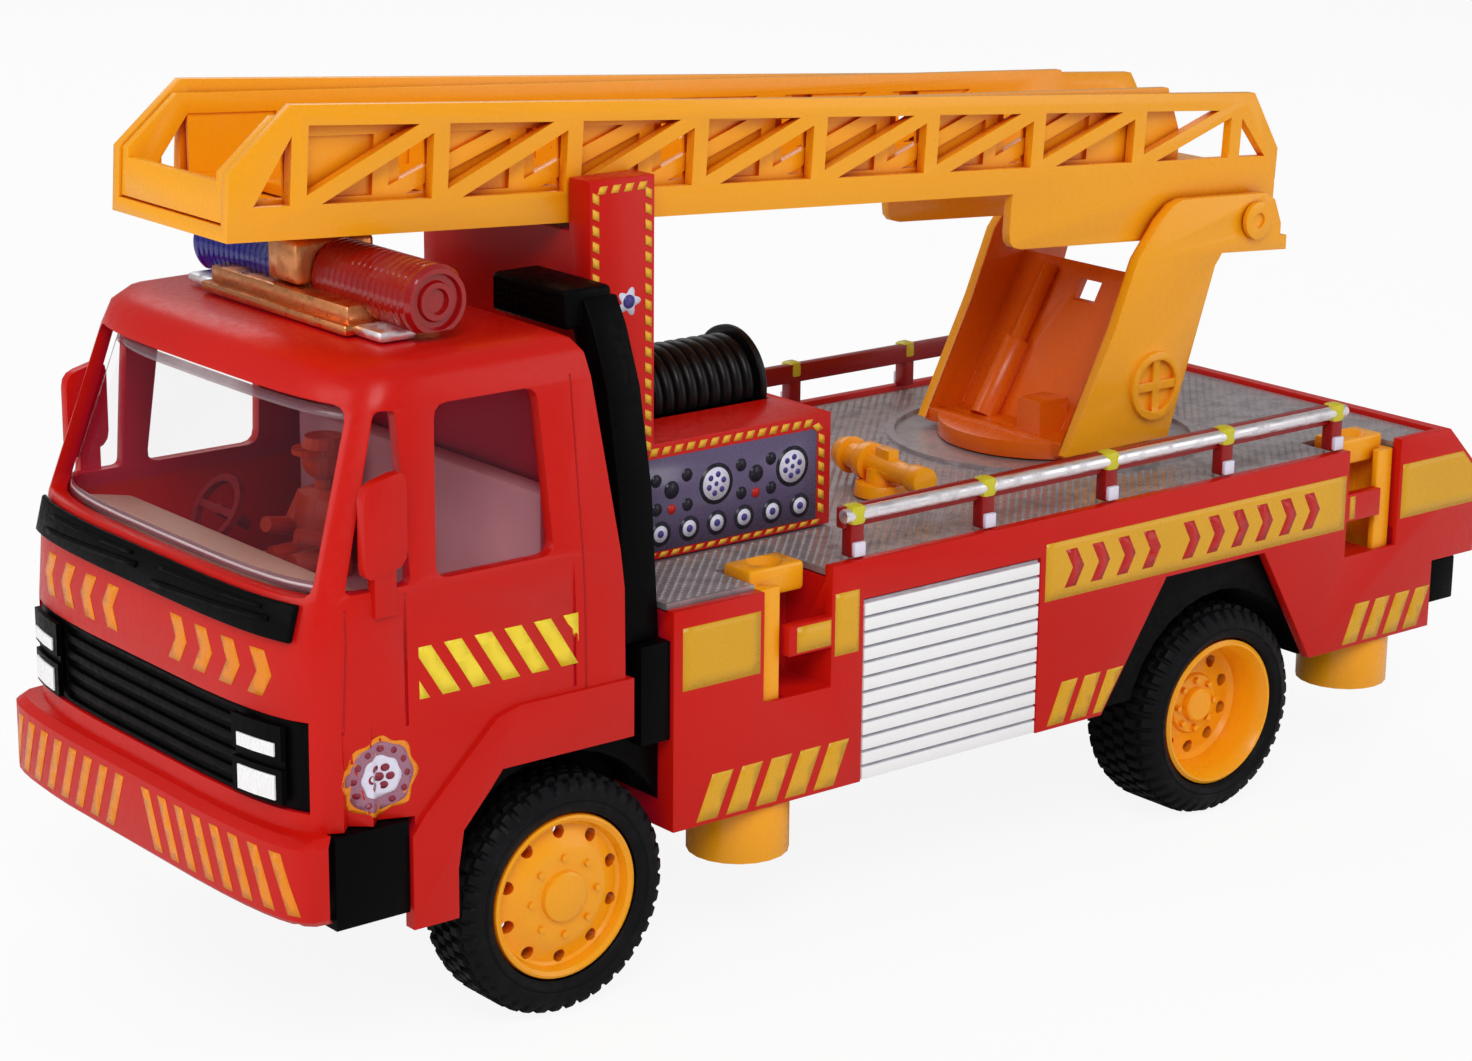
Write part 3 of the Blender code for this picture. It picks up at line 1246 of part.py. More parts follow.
def make_rails(truck):
    """A rail on posts along each side of the deck, with clamps at the posts."""
    foot_z = BODY_RIM_Z + SEAT_GAP
    for side_name, side in SIDES:
        y = side * RAIL_Y
        end = RAIL_FRONT + RAIL_PITCH * (RAIL_POSTS - 1)
        front = RAIL_FRONT - RAIL_CLAMP_LENGTH * 0.7
        rear = end + RAIL_CLAMP_LENGTH * 0.7
        rail = rod((front, y, RAIL_Z), (rear, y, RAIL_Z), RAIL_RADIUS, sides=8)
        board_y = sorted((y - side * RAIL_CLAMP_RADIUS / 9, y - side * (RAIL_CLAMP_RADIUS / 9 + RAIL_BOARD_THICK)))
        board = box(
            (front + RAIL_RADIUS / 2, board_y[0], RAIL_Z - RAIL_BOARD_LOW),
            (rear - RAIL_RADIUS / 2, board_y[1], RAIL_Z + RAIL_BOARD_HIGH),
        )
        fuse(rail, board)
        for k in range(RAIL_POSTS):
            x = RAIL_FRONT + RAIL_PITCH * k
            clamp = rod(
                (x - RAIL_CLAMP_LENGTH / 2, y, RAIL_Z), (x + RAIL_CLAMP_LENGTH / 2, y, RAIL_Z),
                RAIL_CLAMP_RADIUS, sides=10,
            )
            post = rod((x, y, foot_z), (x, y, RAIL_Z), RAIL_POST_RADIUS, sides=8)
            foot = rod(
                (x, y, foot_z), (x, y, foot_z + RAIL_POST_RADIUS * 1.5),
                RAIL_POST_RADIUS * 1.7, RAIL_POST_RADIUS * 1.2, sides=8,
            )
            fuse(rail, clamp, fuse(post, foot))
        finish(rail, f"side_rail_{side_name}", "red plastic", truck)


def make_ladder_rest(truck, deck_top):
    """The red tower that cradles the ladder, and the pump box behind it, in one moulding."""
    low = deck_top + SEAT_GAP
    front, rear = BODY_FRONT + SEAT_GAP, BODY_FRONT + SEAT_GAP + REST_THICK
    tower = box((front, -REST_HALF_WIDTH, low), (rear, REST_HALF_WIDTH, REST_TOP_Z), "rest")
    saddle = LADDER_HALF_WIDTH + REST_CHEEK_GAP
    cradle = box(
        (front - OVERRUN, -saddle, REST_TOP_Z - REST_LIP_DROP),
        (rear + OVERRUN, saddle, REST_TOP_Z + OVERRUN),
    )
    cut(tower, cradle)
    pump = box(
        (rear - BODY_WALL, -REST_HALF_WIDTH, low), (rear + PUMP_LENGTH, REST_HALF_WIDTH, PUMP_TOP_Z)
    )
    fuse(tower, pump)
    hollow_tower = box(
        (front + BODY_WALL, -REST_HALF_WIDTH + BODY_WALL, low - OVERRUN),
        (rear - BODY_WALL, REST_HALF_WIDTH - BODY_WALL, REST_TOP_Z - REST_LIP_DROP - BODY_WALL),
    )
    trough_bottom = REEL_CENTRE_Z - REEL_RADIUS - REEL_FLANGE - SEAT_GAP
    hollow_pump = box(
        (rear - BODY_WALL - SEAT_GAP, -REST_HALF_WIDTH + BODY_WALL, low - OVERRUN),
        (rear + PUMP_LENGTH - BODY_WALL, REST_HALF_WIDTH - BODY_WALL, trough_bottom - BODY_WALL),
    )
    trough = rod(
        (rear + SEAT_GAP, 0, REEL_CENTRE_Z),
        (rear + PUMP_LENGTH - BODY_WALL, 0, REEL_CENTRE_Z),
        REEL_RADIUS + REEL_FLANGE + SEAT_GAP,
    )
    cut(tower, hollow_tower, hollow_pump, trough)
    finish(tower, "ladder_rest", "red plastic", truck)
    return rear


def make_hose_reel(truck, tower_rear):
    """The wound black hose between two flanges, lying in the pump box's trough."""
    start = tower_rear + SEAT_GAP * 2
    length = PUMP_LENGTH - BODY_WALL - SEAT_GAP * 3
    flange = REEL_RADIUS + REEL_FLANGE
    drum = REEL_RADIUS - HOSE_RADIUS
    wound = length - REEL_FLANGE_THICK * 2
    turn = wound / REEL_TURNS
    profile = [(0, length), (flange, length), (flange, length - REEL_FLANGE_THICK)]
    for k in range(REEL_TURNS):
        top = length - REEL_FLANGE_THICK - turn * k
        profile += [
            (drum, top),
            (drum + HOSE_RADIUS, top - turn * 0.3),
            (drum + HOSE_RADIUS, top - turn * 0.7),
        ]
    profile += [(drum, REEL_FLANGE_THICK), (flange, REEL_FLANGE_THICK), (flange, 0), (0, 0)]
    reel = turned(profile, 16)
    reel.data.transform(Matrix.Rotation(math.pi / 2, 4, "Z"))
    return finish(reel, "hose_reel", "black plastic", truck, (start, 0, REEL_CENTRE_Z))


def make_monitor(truck, deck_top):
    """A yellow water cannon that lies across the deck in front of the turntable."""
    low = deck_top + SEAT_GAP
    unit = RAIL_CLAMP_RADIUS
    base = rod((0, 0, 0), (0, 0, unit), unit * 2.3, unit * 2.1, sides=20)
    stalk = rod((0, 0, unit / 2), (0, 0, unit * 2.2), unit * 1.35, unit * 1.25, sides=16)
    barrel = rod((-unit * 5.2, 0, unit * 2.3), (unit * 4.6, 0, unit * 2.3), unit * 0.85, unit * 1.15, sides=14)
    muzzle = rod((-unit * 6.0, 0, unit * 2.3), (-unit * 4.4, 0, unit * 2.3), unit * 1.15, sides=16)
    collar = rod((unit * 1.2, 0, unit * 2.31), (unit * 2.2, 0, unit * 2.31), unit * 1.6, sides=16)
    tail = rod((unit * 4.2, 0, unit * 2.29), (unit * 5.4, 0, unit * 2.29), unit * 1.55, unit * 1.3, sides=16)
    lever = box((-unit * 1.6, -unit * 0.5, unit * 2.6), (unit * 0.2, unit * 0.5, unit * 3.9))
    fuse(base, stalk, barrel, muzzle, collar, tail, lever)
    base.data.transform(Matrix.Rotation(math.radians(84), 4, "Z"))
    place = (TURRET_STATION - MONITOR_FRONT_OF_TURRET, -MONITOR_Y, low)
    return finish(base, "deck_monitor", "yellow plastic", truck, place)


def make_chassis(truck):
    """The black chassis: spine, wheel pockets, axle bearings, steps and tail beam."""
    spine_top = SILL_Z + SPINE_THICK
    tail = BODY_REAR - TAIL_STEP
    spine = box(
        (-STEP_BLOCK_FRONT + SEAT_GAP, -SPINE_HALF_WIDTH, SILL_Z),
        (tail - BODY_WALL - SEAT_GAP, SPINE_HALF_WIDTH, spine_top),
        "chassis",
    )
    wide = HALF_WIDTH - SEAT_GAP * 2
    bulkhead_rear = BODY_FRONT - SEAT_GAP
    bulkhead_front = bulkhead_rear - BULKHEAD_THICK
    liner_half = CAB_HALF_WIDTH - CAB_WALL - RUN_GAP
    liner = box(
        (-FRONT_LINER_FRONT, -liner_half, SILL_Z), (bulkhead_rear, liner_half, FRONT_LINER_TOP_Z)
    )
    bulkhead = box(
        (bulkhead_front, -wide, FRONT_LINER_TOP_Z - BODY_WALL), (bulkhead_rear, wide, BULKHEAD_TOP_Z)
    )
    inner = HALF_WIDTH - BODY_WALL - SEAT_GAP
    rear_liner = box(
        (WHEELBASE - REAR_LINER_FRONT, -inner, SILL_Z + SEAT_GAP),
        (WHEELBASE + REAR_LINER_REAR, inner, REAR_LINER_TOP_Z),
    )
    steps = box(
        (-STEP_BLOCK_FRONT, -wide, STEP_BLOCK_BOTTOM_Z),
        (-STEP_BLOCK_REAR, wide, BUMPER_TOP_Z - SEAT_GAP),
    )
    fuse(spine, liner, bulkhead, rear_liner, steps)
    reach = HALF_WIDTH + OVERRUN
    pocket_radius = TYRE_RADIUS + LINER_CLEARANCE
    for station, width in ((0, TYRE_WIDTH_FRONT), (WHEELBASE, TYRE_WIDTH_REAR)):
        deep = HALF_WIDTH - TYRE_FACE_INSET - width - LINER_CLEARANCE / 2
        for _, side in SIDES:
            ends = (side * deep, side * reach)
            pocket = rod((station, min(ends), TYRE_RADIUS), (station, max(ends), TYRE_RADIUS), pocket_radius, sides=32)
            below = box(
                (station - pocket_radius, min(ends), SILL_Z - OVERRUN * 2),
                (station + pocket_radius, max(ends), TYRE_RADIUS + OVERRUN),
            )
            cut(spine, fuse(pocket, below))
        bearing = box(
            (station - BEARING_HALF_LENGTH, -SPINE_HALF_WIDTH + SEAT_GAP, TYRE_RADIUS - BEARING_DROP),
            (station + BEARING_HALF_LENGTH, SPINE_HALF_WIDTH - SEAT_GAP, SILL_Z + SPINE_THICK / 2),
        )
        fuse(spine, bearing)
        bore = rod((station, -reach, TYRE_RADIUS), (station, reach, TYRE_RADIUS), AXLE_RADIUS + SEAT_GAP, sides=20)
        cut(spine, bore)
    beam = box(
        (tail + SEAT_GAP, -wide, TAIL_BEAM_BOTTOM_Z),
        (tail + TAIL_BEAM_LENGTH, wide, STEP_UP_Z - SEAT_GAP),
    )
    return spine, beam


def make_wheels(truck):
    """Two axles, each with its rims and tyres, free to turn."""
    for end_name, station, width, dished in (
        ("front", 0, TYRE_WIDTH_FRONT, False),
        ("rear", WHEELBASE, TYRE_WIDTH_REAR, True),
    ):
        hub = carrier(f"{end_name}_axle_axis", (station, 0, TYRE_RADIUS), truck)
        face = HALF_WIDTH - TYRE_FACE_INSET
        rim_face = face - TYRE_FACE_INSET
        axle_end = rim_face - RIM_WALL * 2 - (DISH_DEPTH if dished else 0)
        axle = rod((0, -axle_end, 0), (0, axle_end, 0), AXLE_RADIUS, sides=16)
        finish(axle, f"{end_name}_axle", "chrome", hub)
        for side_name, side in SIDES:
            turn = Matrix.Rotation(0 if side < 0 else math.pi, 4, "Z")
            shoulder = width / 6
            back = face - width
            bead = RIM_RADIUS + SEAT_GAP
            tyre = turned(
                [
                    (bead, face - shoulder / 3),
                    (bead + RIM_LIP, face),
                    (TYRE_RADIUS - shoulder * 0.9, face - shoulder * 0.1),
                    (TYRE_RADIUS - shoulder * 0.25, face - shoulder * 0.5),
                    (TYRE_RADIUS, face - shoulder * 1.3),
                    (TYRE_RADIUS, back + shoulder * 1.3),
                    (TYRE_RADIUS - shoulder * 0.25, back + shoulder * 0.5),
                    (TYRE_RADIUS - shoulder * 0.9, back + shoulder * 0.1),
                    (bead + RIM_LIP, back),
                    (bead, back + shoulder / 3),
                    (bead, face - shoulder / 3),
                ],
                32,
            )
            tyre.data.transform(turn)
            finish(tyre, f"tyre_{end_name}_{side_name}", "tyre rubber", hub)
            rim_back = face - width * 0.9
            bore = AXLE_RADIUS + SEAT_GAP
            if dished:
                disc = rim_face - DISH_DEPTH
                profile = [
                    (0, disc + HUB_CAP_PROUD * 2),
                    (HUB_CAP_RADIUS * 0.7, disc + HUB_CAP_PROUD * 2),
                    (HUB_CAP_RADIUS, disc + HUB_CAP_PROUD),
                    (HUB_RADIUS, disc),
                    (RIM_RADIUS - RIM_WALL * 3, disc - RIM_WALL / 2),
                    (RIM_RADIUS - RIM_WALL * 2, disc),
                    (RIM_RADIUS - RIM_WALL * 1.3, rim_face - RIM_LIP),
                    (RIM_RADIUS - RIM_WALL, rim_face),
                    (RIM_RADIUS, rim_face - RIM_WALL / 3),
                    (RIM_RADIUS, rim_back),
                    (RIM_RADIUS - RIM_WALL, rim_back),
                    (RIM_RADIUS - RIM_WALL, disc - RIM_WALL * 2),
                    (HUB_RADIUS, disc - RIM_WALL * 2),
                    (HUB_RADIUS, rim_back),
                    (bore, rim_back),
                    (bore, disc - RIM_WALL / 2),
                    (0, disc - RIM_WALL / 2),
                ]
            else:
                disc = rim_face - DOME_RISE
                profile = [
                    (0, rim_face + HUB_CAP_PROUD - DOME_RISE / 2),
                    (HUB_CAP_RADIUS, rim_face + HUB_CAP_PROUD - DOME_RISE / 2),
                    (HUB_CAP_RADIUS, rim_face - DOME_RISE / 2),
                    (HUB_RADIUS, rim_face - DOME_RISE / 2),
                    (RIM_RADIUS * 0.62, rim_face - DOME_RISE * 0.55),
                    (RIM_RADIUS * 0.86, disc),
                    (RIM_RADIUS - RIM_WALL * 0.9, rim_face - RIM_WALL / 3),
                    (RIM_RADIUS - RIM_WALL * 0.3, rim_face - RIM_WALL / 4),
                    (RIM_RADIUS, rim_face - RIM_WALL / 2),
                    (RIM_RADIUS, rim_back),
                    (RIM_RADIUS - RIM_WALL, rim_back),
                    (RIM_RADIUS - RIM_WALL, disc - RIM_WALL * 2),
                    (HUB_RADIUS, disc - RIM_WALL),
                    (HUB_RADIUS, rim_back),
                    (bore, rim_back),
                    (bore, rim_face - RIM_WALL * 1.7),
                    (0, rim_face - RIM_WALL * 1.7),
                ]
            rim = turned(profile, 24)
            vent_at = RIM_RADIUS * VENT_CIRCLE_SHARE
            for k in range(VENT_COUNT):
                angle = 2 * math.pi * k / VENT_COUNT
                x, z = vent_at * math.cos(angle), vent_at * math.sin(angle)
                vent = rod((x, -rim_face - OVERRUN, z), (x, -disc + RIM_WALL * 4, z), VENT_RADIUS, sides=6)
                cut(rim, vent)
            rim.data.transform(turn)
            finish(rim, f"rim_{end_name}_{side_name}", "yellow plastic", hub)


def make_jacks(truck):
    """Four sliding jacks: a hollow foot, a channel column and a dished thumb cap."""
    for name, side, start, facing in notch_places():
        x, y = column_place(side, start, facing)
        slide = carrier(f"jack_{name}_axis", (x, y, NOTCH_FLOOR_Z), truck)
        low = JACK_FOOT_BOTTOM_Z - NOTCH_FLOOR_Z
        foot_y = side * (HALF_WIDTH - JACK_FOOT_INSET - JACK_FOOT_RADIUS) - y
        foot = rod((0, foot_y, low), (0, foot_y, low + JACK_FOOT_HEIGHT), JACK_FOOT_RADIUS, sides=20)
        hollow = rod(
            (0, foot_y, low - OVERRUN),
            (0, foot_y, low + JACK_FOOT_HEIGHT - JACK_FOOT_WALL),
            JACK_FOOT_RADIUS - JACK_FOOT_WALL,
            sides=20,
        )
        cut(foot, hollow)
        top = JACK_CAP_TOP_Z - NOTCH_FLOOR_Z
        half_depth, half_width = JACK_COLUMN_DEPTH / 2, JACK_COLUMN_WIDTH / 2
        channel = rounded(
            [
                (-facing * half_depth, -half_width),
                (facing * half_depth, -half_width),
                (facing * half_depth, -half_width + JACK_COLUMN_WALL),
                (-facing * (half_depth - JACK_COLUMN_WALL), -half_width + JACK_COLUMN_WALL * 1.4),
                (-facing * (half_depth - JACK_COLUMN_WALL), half_width - JACK_COLUMN_WALL * 1.4),
                (facing * half_depth, half_width - JACK_COLUMN_WALL),
                (facing * half_depth, half_width),
                (-facing * half_depth, half_width),
            ],
            JACK_COLUMN_WALL / 3,
            2,
        )
        column = plate(
            channel, low + JACK_FOOT_HEIGHT - JACK_FOOT_WALL / 2, top - JACK_CAP_THICK / 2, "XY"
        )
        back, reach = -facing * half_depth, facing * (half_depth + JACK_CAP_REACH)
        inner_y, outer_y = -side * half_width, side * (half_width - BODY_WALL - RUN_GAP)
        cap = box(
            (min(back, reach), min(inner_y, outer_y), top - JACK_CAP_THICK),
            (max(back, reach), max(inner_y, outer_y), top),
        )
        softened(cap, JACK_COLUMN_WALL / 2)
        dish_x, dish_y = (back + reach) / 2, (inner_y + outer_y) / 2
        dish = rod(
            (dish_x, dish_y, top - JACK_DISH_DEPTH),
            (dish_x, dish_y, top + JACK_DISH_DEPTH),
            JACK_COLUMN_WALL * 1.6,
            JACK_COLUMN_WALL * 2.8,
            sides=14,
        )
        cut(cap, dish)
        finish(fuse(foot, column, cap), f"jack_{name}", "yellow plastic", slide)


def make_turret(truck, deck_top):
    """The yellow turret: a round base and two cheeks that lean back to the ladder's pivot."""
    axis = carrier("turntable_axis", (TURRET_STATION, 0, deck_top + SEAT_GAP), truck)
    turret = rod((0, 0, 0), (0, 0, TURRET_BASE_THICK), TURRET_BASE_RADIUS, sides=40)
    stem_low = TRAY_Z - BODY_WALL - deck_top - SEAT_GAP * 2
    stem = rod((0, 0, stem_low - WEB_THICK / 2), (0, 0, TURRET_BASE_THICK / 2), TURRET_PIN_RADIUS, sides=24)
    clip = rod(
        (0, 0, stem_low - WEB_THICK), (0, 0, stem_low), TURRET_PIN_RADIUS + RUN_GAP * 3, sides=24
    )
    fuse(turret, fuse(stem, clip))
    outline = [(u * PIVOT_OFFSET, v * PIVOT_RISE + TURRET_BASE_THICK / 2 * (v == 0)) for u, v in CHEEK_SHARES]
    for _, side in SIDES:
        outer, inner = side * CHEEK_Y, side * (CHEEK_Y - CHEEK_THICK)
        fuse(turret, plate(outline, min(outer, inner), max(outer, inner)))
    foot = Vector((CHEEK_SHARES[0][0] * PIVOT_OFFSET + WEB_SETBACK, TURRET_BASE_THICK / 2))
    head = Vector((CHEEK_SHARES[2][0] * PIVOT_OFFSET + WEB_SETBACK, CHEEK_SHARES[2][1] * PIVOT_RISE * 0.86))
    lean = (head - foot).normalized()
    across = Vector((lean.y, -lean.x)) * WEB_THICK
    web = [tuple(foot), tuple(foot + across), tuple(head + across), tuple(head)]
    inner = CHEEK_Y - CHEEK_THICK / 2
    fuse(turret, plate(web, -inner, inner))
    sill_x = CHEEK_SHARES[0][0] * PIVOT_OFFSET + WEB_THICK / 2
    sill = box((sill_x, -inner, TURRET_BASE_THICK / 4), (sill_x + WEB_THICK, inner, SILL_RISE))
    away = Vector((-across.x, -across.y)).normalized()
    ram_low = foot + away * RAM_RADIUS * 0.8
    ram_high = head + away * RAM_ROD_RADIUS * 0.6 - lean * WINDOW_HEIGHT * 0.5
    ram_mid = ram_low.lerp(ram_high, 0.5)
    ram = rod((ram_low.x, RAM_Y, ram_low.y), (ram_mid.x, RAM_Y, ram_mid.y), RAM_RADIUS, sides=14)
    ram_rod = rod((ram_low.x, RAM_Y, ram_low.y), (ram_high.x, RAM_Y, ram_high.y), RAM_ROD_RADIUS, sides=12)
    valve = box(
        (foot.x - FOOT_BOX * 0.8, -RAM_Y, TURRET_BASE_THICK / 2),
        (foot.x + FOOT_BOX * 0.4, -RAM_Y + FOOT_BOX, TURRET_BASE_THICK + FOOT_BOX),
    )
    fuse(turret, sill, ram, ram_rod, valve)
    window_low = foot.lerp(head, 0.78)
    window_high = window_low + lean * WINDOW_HEIGHT
    cut(
        turret,
        box(
            (window_low.x - WEB_THICK, -WINDOW_HALF_WIDTH, window_low.y),
            (window_high.x + WEB_THICK * 3, WINDOW_HALF_WIDTH - RAM_RADIUS, window_high.y),
        ),
    )
    for _, side in SIDES:
        face = side * CHEEK_Y
        proud = side * (CHEEK_Y + HAND_WHEEL_PROUD)
        sunk = side * (CHEEK_Y - CHEEK_THICK / 2)
        hub_x, hub_z = PIVOT_OFFSET * 0.245, PIVOT_RISE * 0.300
        wheel = rod((hub_x, min(sunk, proud), hub_z), (hub_x, max(sunk, proud), hub_z), HAND_WHEEL_RADIUS, sides=20)
        hole = rod(
            (hub_x, min(face, proud * 1.1), hub_z), (hub_x, max(face, proud * 1.1), hub_z),
            HAND_WHEEL_RADIUS * 0.76, sides=20,
        )
        cut(wheel, hole)
        arm = HAND_WHEEL_RADIUS * 0.13
        long_arm = HAND_WHEEL_RADIUS * 0.86
        near, far = sorted((sunk, proud - side * HAND_WHEEL_PROUD / 4))
        for half_x, half_z in ((arm, long_arm), (long_arm, arm)):
            fuse(wheel, box((hub_x - half_x, near, hub_z - half_z), (hub_x + half_x, far, hub_z + half_z)))
        fuse(turret, wheel)
    wide = CHEEK_Y + OVERRUN
    bore = rod((PIVOT_OFFSET, -wide, PIVOT_RISE), (PIVOT_OFFSET, wide, PIVOT_RISE), PIN_RADIUS + SEAT_GAP, sides=24)
    cut(turret, bore)
    finish(turret, "turret", "yellow plastic", axis)
    return axis


def ladder_side(front, rear, low, high, nose_rise, nose_slant, tail_slant, nose_drop=0.0, tail_drop=0.0):
    """A ladder section's side view: upright nose, slanted shoulder and raked tail."""
    knee = [(-BRACKET_LENGTH, low)] if nose_drop else []
    return [
        (front, low - nose_drop),
        *knee,
        (rear, low),
        (rear, high - tail_drop - nose_slant),
        (rear - tail_slant, high - tail_drop),
        (front + nose_slant, high),
        (front, low + nose_rise),
    ]


def lattice_cutters(first, panels, low, high, half_width, high_rear=None):
    """Two triangles a panel, left open on each side of its rising diagonal."""
    high_rear = high if high_rear is None else high_rear
    length = LADDER_PITCH * panels
    tools = []
    for k in range(panels):
        left = first + LADDER_PITCH * k + LADDER_POST / 2
        right = first + LADDER_PITCH * (k + 1) - LADDER_POST / 2
        left_high, right_high = (high + (high_rear - high) * (x - first) / length for x in (left, right))
        rise = right_high - low
        slope = math.hypot(right - left, rise)
        shift_x = LADDER_DIAGONAL / 2 * slope / rise
        shift_z = LADDER_DIAGONAL / 2 * slope / (right - left)
        upper = [(left, low + shift_z), (right - shift_x, right_high), (left, left_high)]
        lower = [(left + shift_x, low), (right, low), (right, right_high - shift_z)]
        tools += [plate(upper, -half_width, half_width), plate(lower, -half_width, half_width)]
    return tools


def make_ladder(axis):
    """The telescoping lattice ladder: an outer section on the pivot and a fly inside it."""
    pivot = carrier("ladder_axis", (PIVOT_OFFSET, 0, PIVOT_RISE), axis)
    pivot.rotation_euler = (0, LADDER_TILT, 0)
    low, high = LADDER_FLOOR, LADDER_FLOOR + LADDER_DEPTH
    front, rear = -LADDER_REACH, LADDER_TAIL
    side_view = ladder_side(
        front, rear, low, high, LADDER_NOSE_RISE, LADDER_NOSE_SLANT, LADDER_TAIL_SLANT,
        LADDER_NOSE_DROP, LADDER_TAIL_DROP,
    )
    ladder = plate(side_view, -LADDER_HALF_WIDTH, LADDER_HALF_WIDTH)
    bracket = rounded(
        [
            (-BRACKET_LENGTH, low + LADDER_CHORD_LOW / 2),
            (-BRACKET_LENGTH, -BRACKET_DROP),
            (rear, -BRACKET_DROP),
            (rear, low + LADDER_CHORD_LOW / 2),
        ],
        BRACKET_ROUND,
    )
    fuse(ladder, plate(bracket, -LADDER_HALF_WIDTH, LADDER_HALF_WIDTH))
    inner = LADDER_HALF_WIDTH - LADDER_WALL
    channel = box(
        (front - OVERRUN, -inner, low + LADDER_FLOOR_THICK), (rear + OVERRUN, inner, high + OVERRUN)
    )
    below = box(
        (-BRACKET_LENGTH - OVERRUN, -inner, -BRACKET_DROP - OVERRUN), (rear + OVERRUN, inner, low)
    )
    cut(ladder, channel, below)
    first = front + LADDER_FIRST_POST
    wide = LADDER_HALF_WIDTH + OVERRUN
    open_low, open_high = low + LADDER_CHORD_LOW, high - LADDER_CHORD_TOP
    tools = lattice_cutters(first, LADDER_PANELS, open_low, open_high, wide, open_high - LADDER_TAIL_DROP)
    post_front, post_rear = first - LADDER_POST / 2, LADDER_POST / 2 - LADDER_LAST_POST
    nose = [
        (front + LADDER_NOSE_EDGE, open_low),
        (post_front, open_low),
        (post_front, open_high - LADDER_CHORD_TOP / 2),
    ]
    tail = [
        (post_rear, open_low),
        (rear - LADDER_TAIL_EDGE, open_low),
        (post_rear, open_high - LADDER_TAIL_DROP - LADDER_CHORD_TOP / 2),
    ]
    cut(ladder, *tools, plate(nose, -wide, wide), plate(tail, -wide, wide))
    cut(ladder, rod((0, -wide, 0), (0, wide, 0), PIN_RADIUS + SEAT_GAP, sides=24))
    finish(ladder, "ladder_base", "yellow plastic", pivot)

    fly_low = low + LADDER_FLOOR_THICK + FLY_GAP
    fly_high = fly_low + FLY_DEPTH
    fly_half = inner - FLY_GAP
    fly_front, fly_rear = front + SEAT_GAP, front + FLY_LENGTH
    rise = LADDER_NOSE_RISE - LADDER_FLOOR_THICK - FLY_GAP
    slant = LADDER_NOSE_SLANT * (FLY_DEPTH - rise) / (LADDER_DEPTH - LADDER_NOSE_RISE)
    fly_view = ladder_side(fly_front, fly_rear, fly_low, fly_high, rise, slant, LADDER_TAIL / 2)
    fly = plate(fly_view, -fly_half, fly_half)
    fly_inner = fly_half - FLY_WALL
    lip = front + SEAT_GAP + FLY_WALL
    cut(
        fly,
        box((lip, -fly_inner, fly_low + FLY_WALL), (fly_rear + OVERRUN, fly_inner, fly_high + OVERRUN)),
        box((front - OVERRUN, -fly_inner, fly_low + FLY_LIP), (lip + OVERRUN, fly_inner, fly_high + OVERRUN)),
    )
    fly_first = first + FLY_LATTICE_SHIFT
    fly_open_low, fly_open_high = fly_low + LADDER_CHORD_TOP, fly_high - LADDER_CHORD_TOP
    fly_nose = [
        (front + LADDER_NOSE_EDGE, fly_open_low),
        (fly_first - LADDER_POST / 2, fly_open_low),
        (fly_first - LADDER_POST / 2, fly_open_high),
        (front + slant + LADDER_NOSE_EDGE / 2, fly_open_high),
    ]
    tools = lattice_cutters(fly_first, LADDER_PANELS - 2, fly_open_low, fly_open_high, wide)
    cut(fly, *tools, plate(fly_nose, -wide, wide))
    gap_pitch = LADDER_PITCH / 2
    for k in range(LADDER_PANELS * 2 - 2):
        gap_front = first + gap_pitch * k + LADDER_POST / 2
        gap = box(
            (gap_front, -fly_inner + LADDER_POST / 2, fly_low - OVERRUN),
            (gap_front + gap_pitch - LADDER_POST, fly_inner - LADDER_POST / 2, fly_low + FLY_WALL + OVERRUN),
        )
        cut(fly, gap)
    finish(fly, "ladder_fly", "yellow plastic", pivot)


def make_pin(axis):
    """The pin through the turret's cheeks and the ladder's brackets."""
    out = CHEEK_Y + SEAT_GAP + PIN_HEAD_THICK
    pin = rod((0, -out + PIN_HEAD_THICK / 2, 0), (0, out - PIN_HEAD_THICK / 2, 0), PIN_RADIUS, sides=24)
    for _, side in SIDES:
        near, far = sorted((side * (out - PIN_HEAD_THICK), side * out))
        fuse(pin, rod((0, near, 0), (0, far, 0), PIN_HEAD_RADIUS, sides=24))
        dimple = sorted((side * (out - PIN_HEAD_THICK / 2), side * (out + OVERRUN)))
        cut(pin, rod((0, dimple[0], 0), (0, dimple[1], 0), PIN_DIMPLE_RADIUS, sides=16))
    return finish(pin, "ladder_pin", "yellow plastic", axis, (PIVOT_OFFSET, 0, PIVOT_RISE))


for old in list(bpy.data.objects):
    bpy.data.objects.remove(old, do_unlink=True)
PARTS = collection("fire_engine")
CUTTERS = collection("cutters")


def main():
    """Builds the truck from the ground up."""
    half_length = (FRONT_OVERHANG + WHEELBASE + REAR_OVERHANG) / 2
    truck = carrier("truck_datum", (FRONT_OVERHANG - half_length, 0, 0))
    chassis, beam = make_chassis(truck)
    finish(chassis, "chassis", "black plastic", truck)
    finish(beam, "tail_beam", "black plastic", truck)
    make_wheels(truck)
    make_cab(truck)
    make_glazing(truck)
    make_front_trim(truck)
    seat_rear, seat_top = make_cab_inside(truck)
    make_driver(truck, seat_rear, seat_top)
    make_light_bar(truck)
    make_air_intake(truck)
    make_rear_body(truck)
    make_shutters(truck)
    deck_top = make_deck(truck)
    make_rails(truck)
    tower_rear = make_ladder_rest(truck, deck_top)
    make_hose_reel(truck, tower_rear)
    make_monitor(truck, deck_top)
    make_jacks(truck)
    axis = make_turret(truck, deck_top)
    make_ladder(axis)
    make_pin(axis)


main()
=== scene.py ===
"""The looks of a moulded plastic toy fire engine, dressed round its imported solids."""

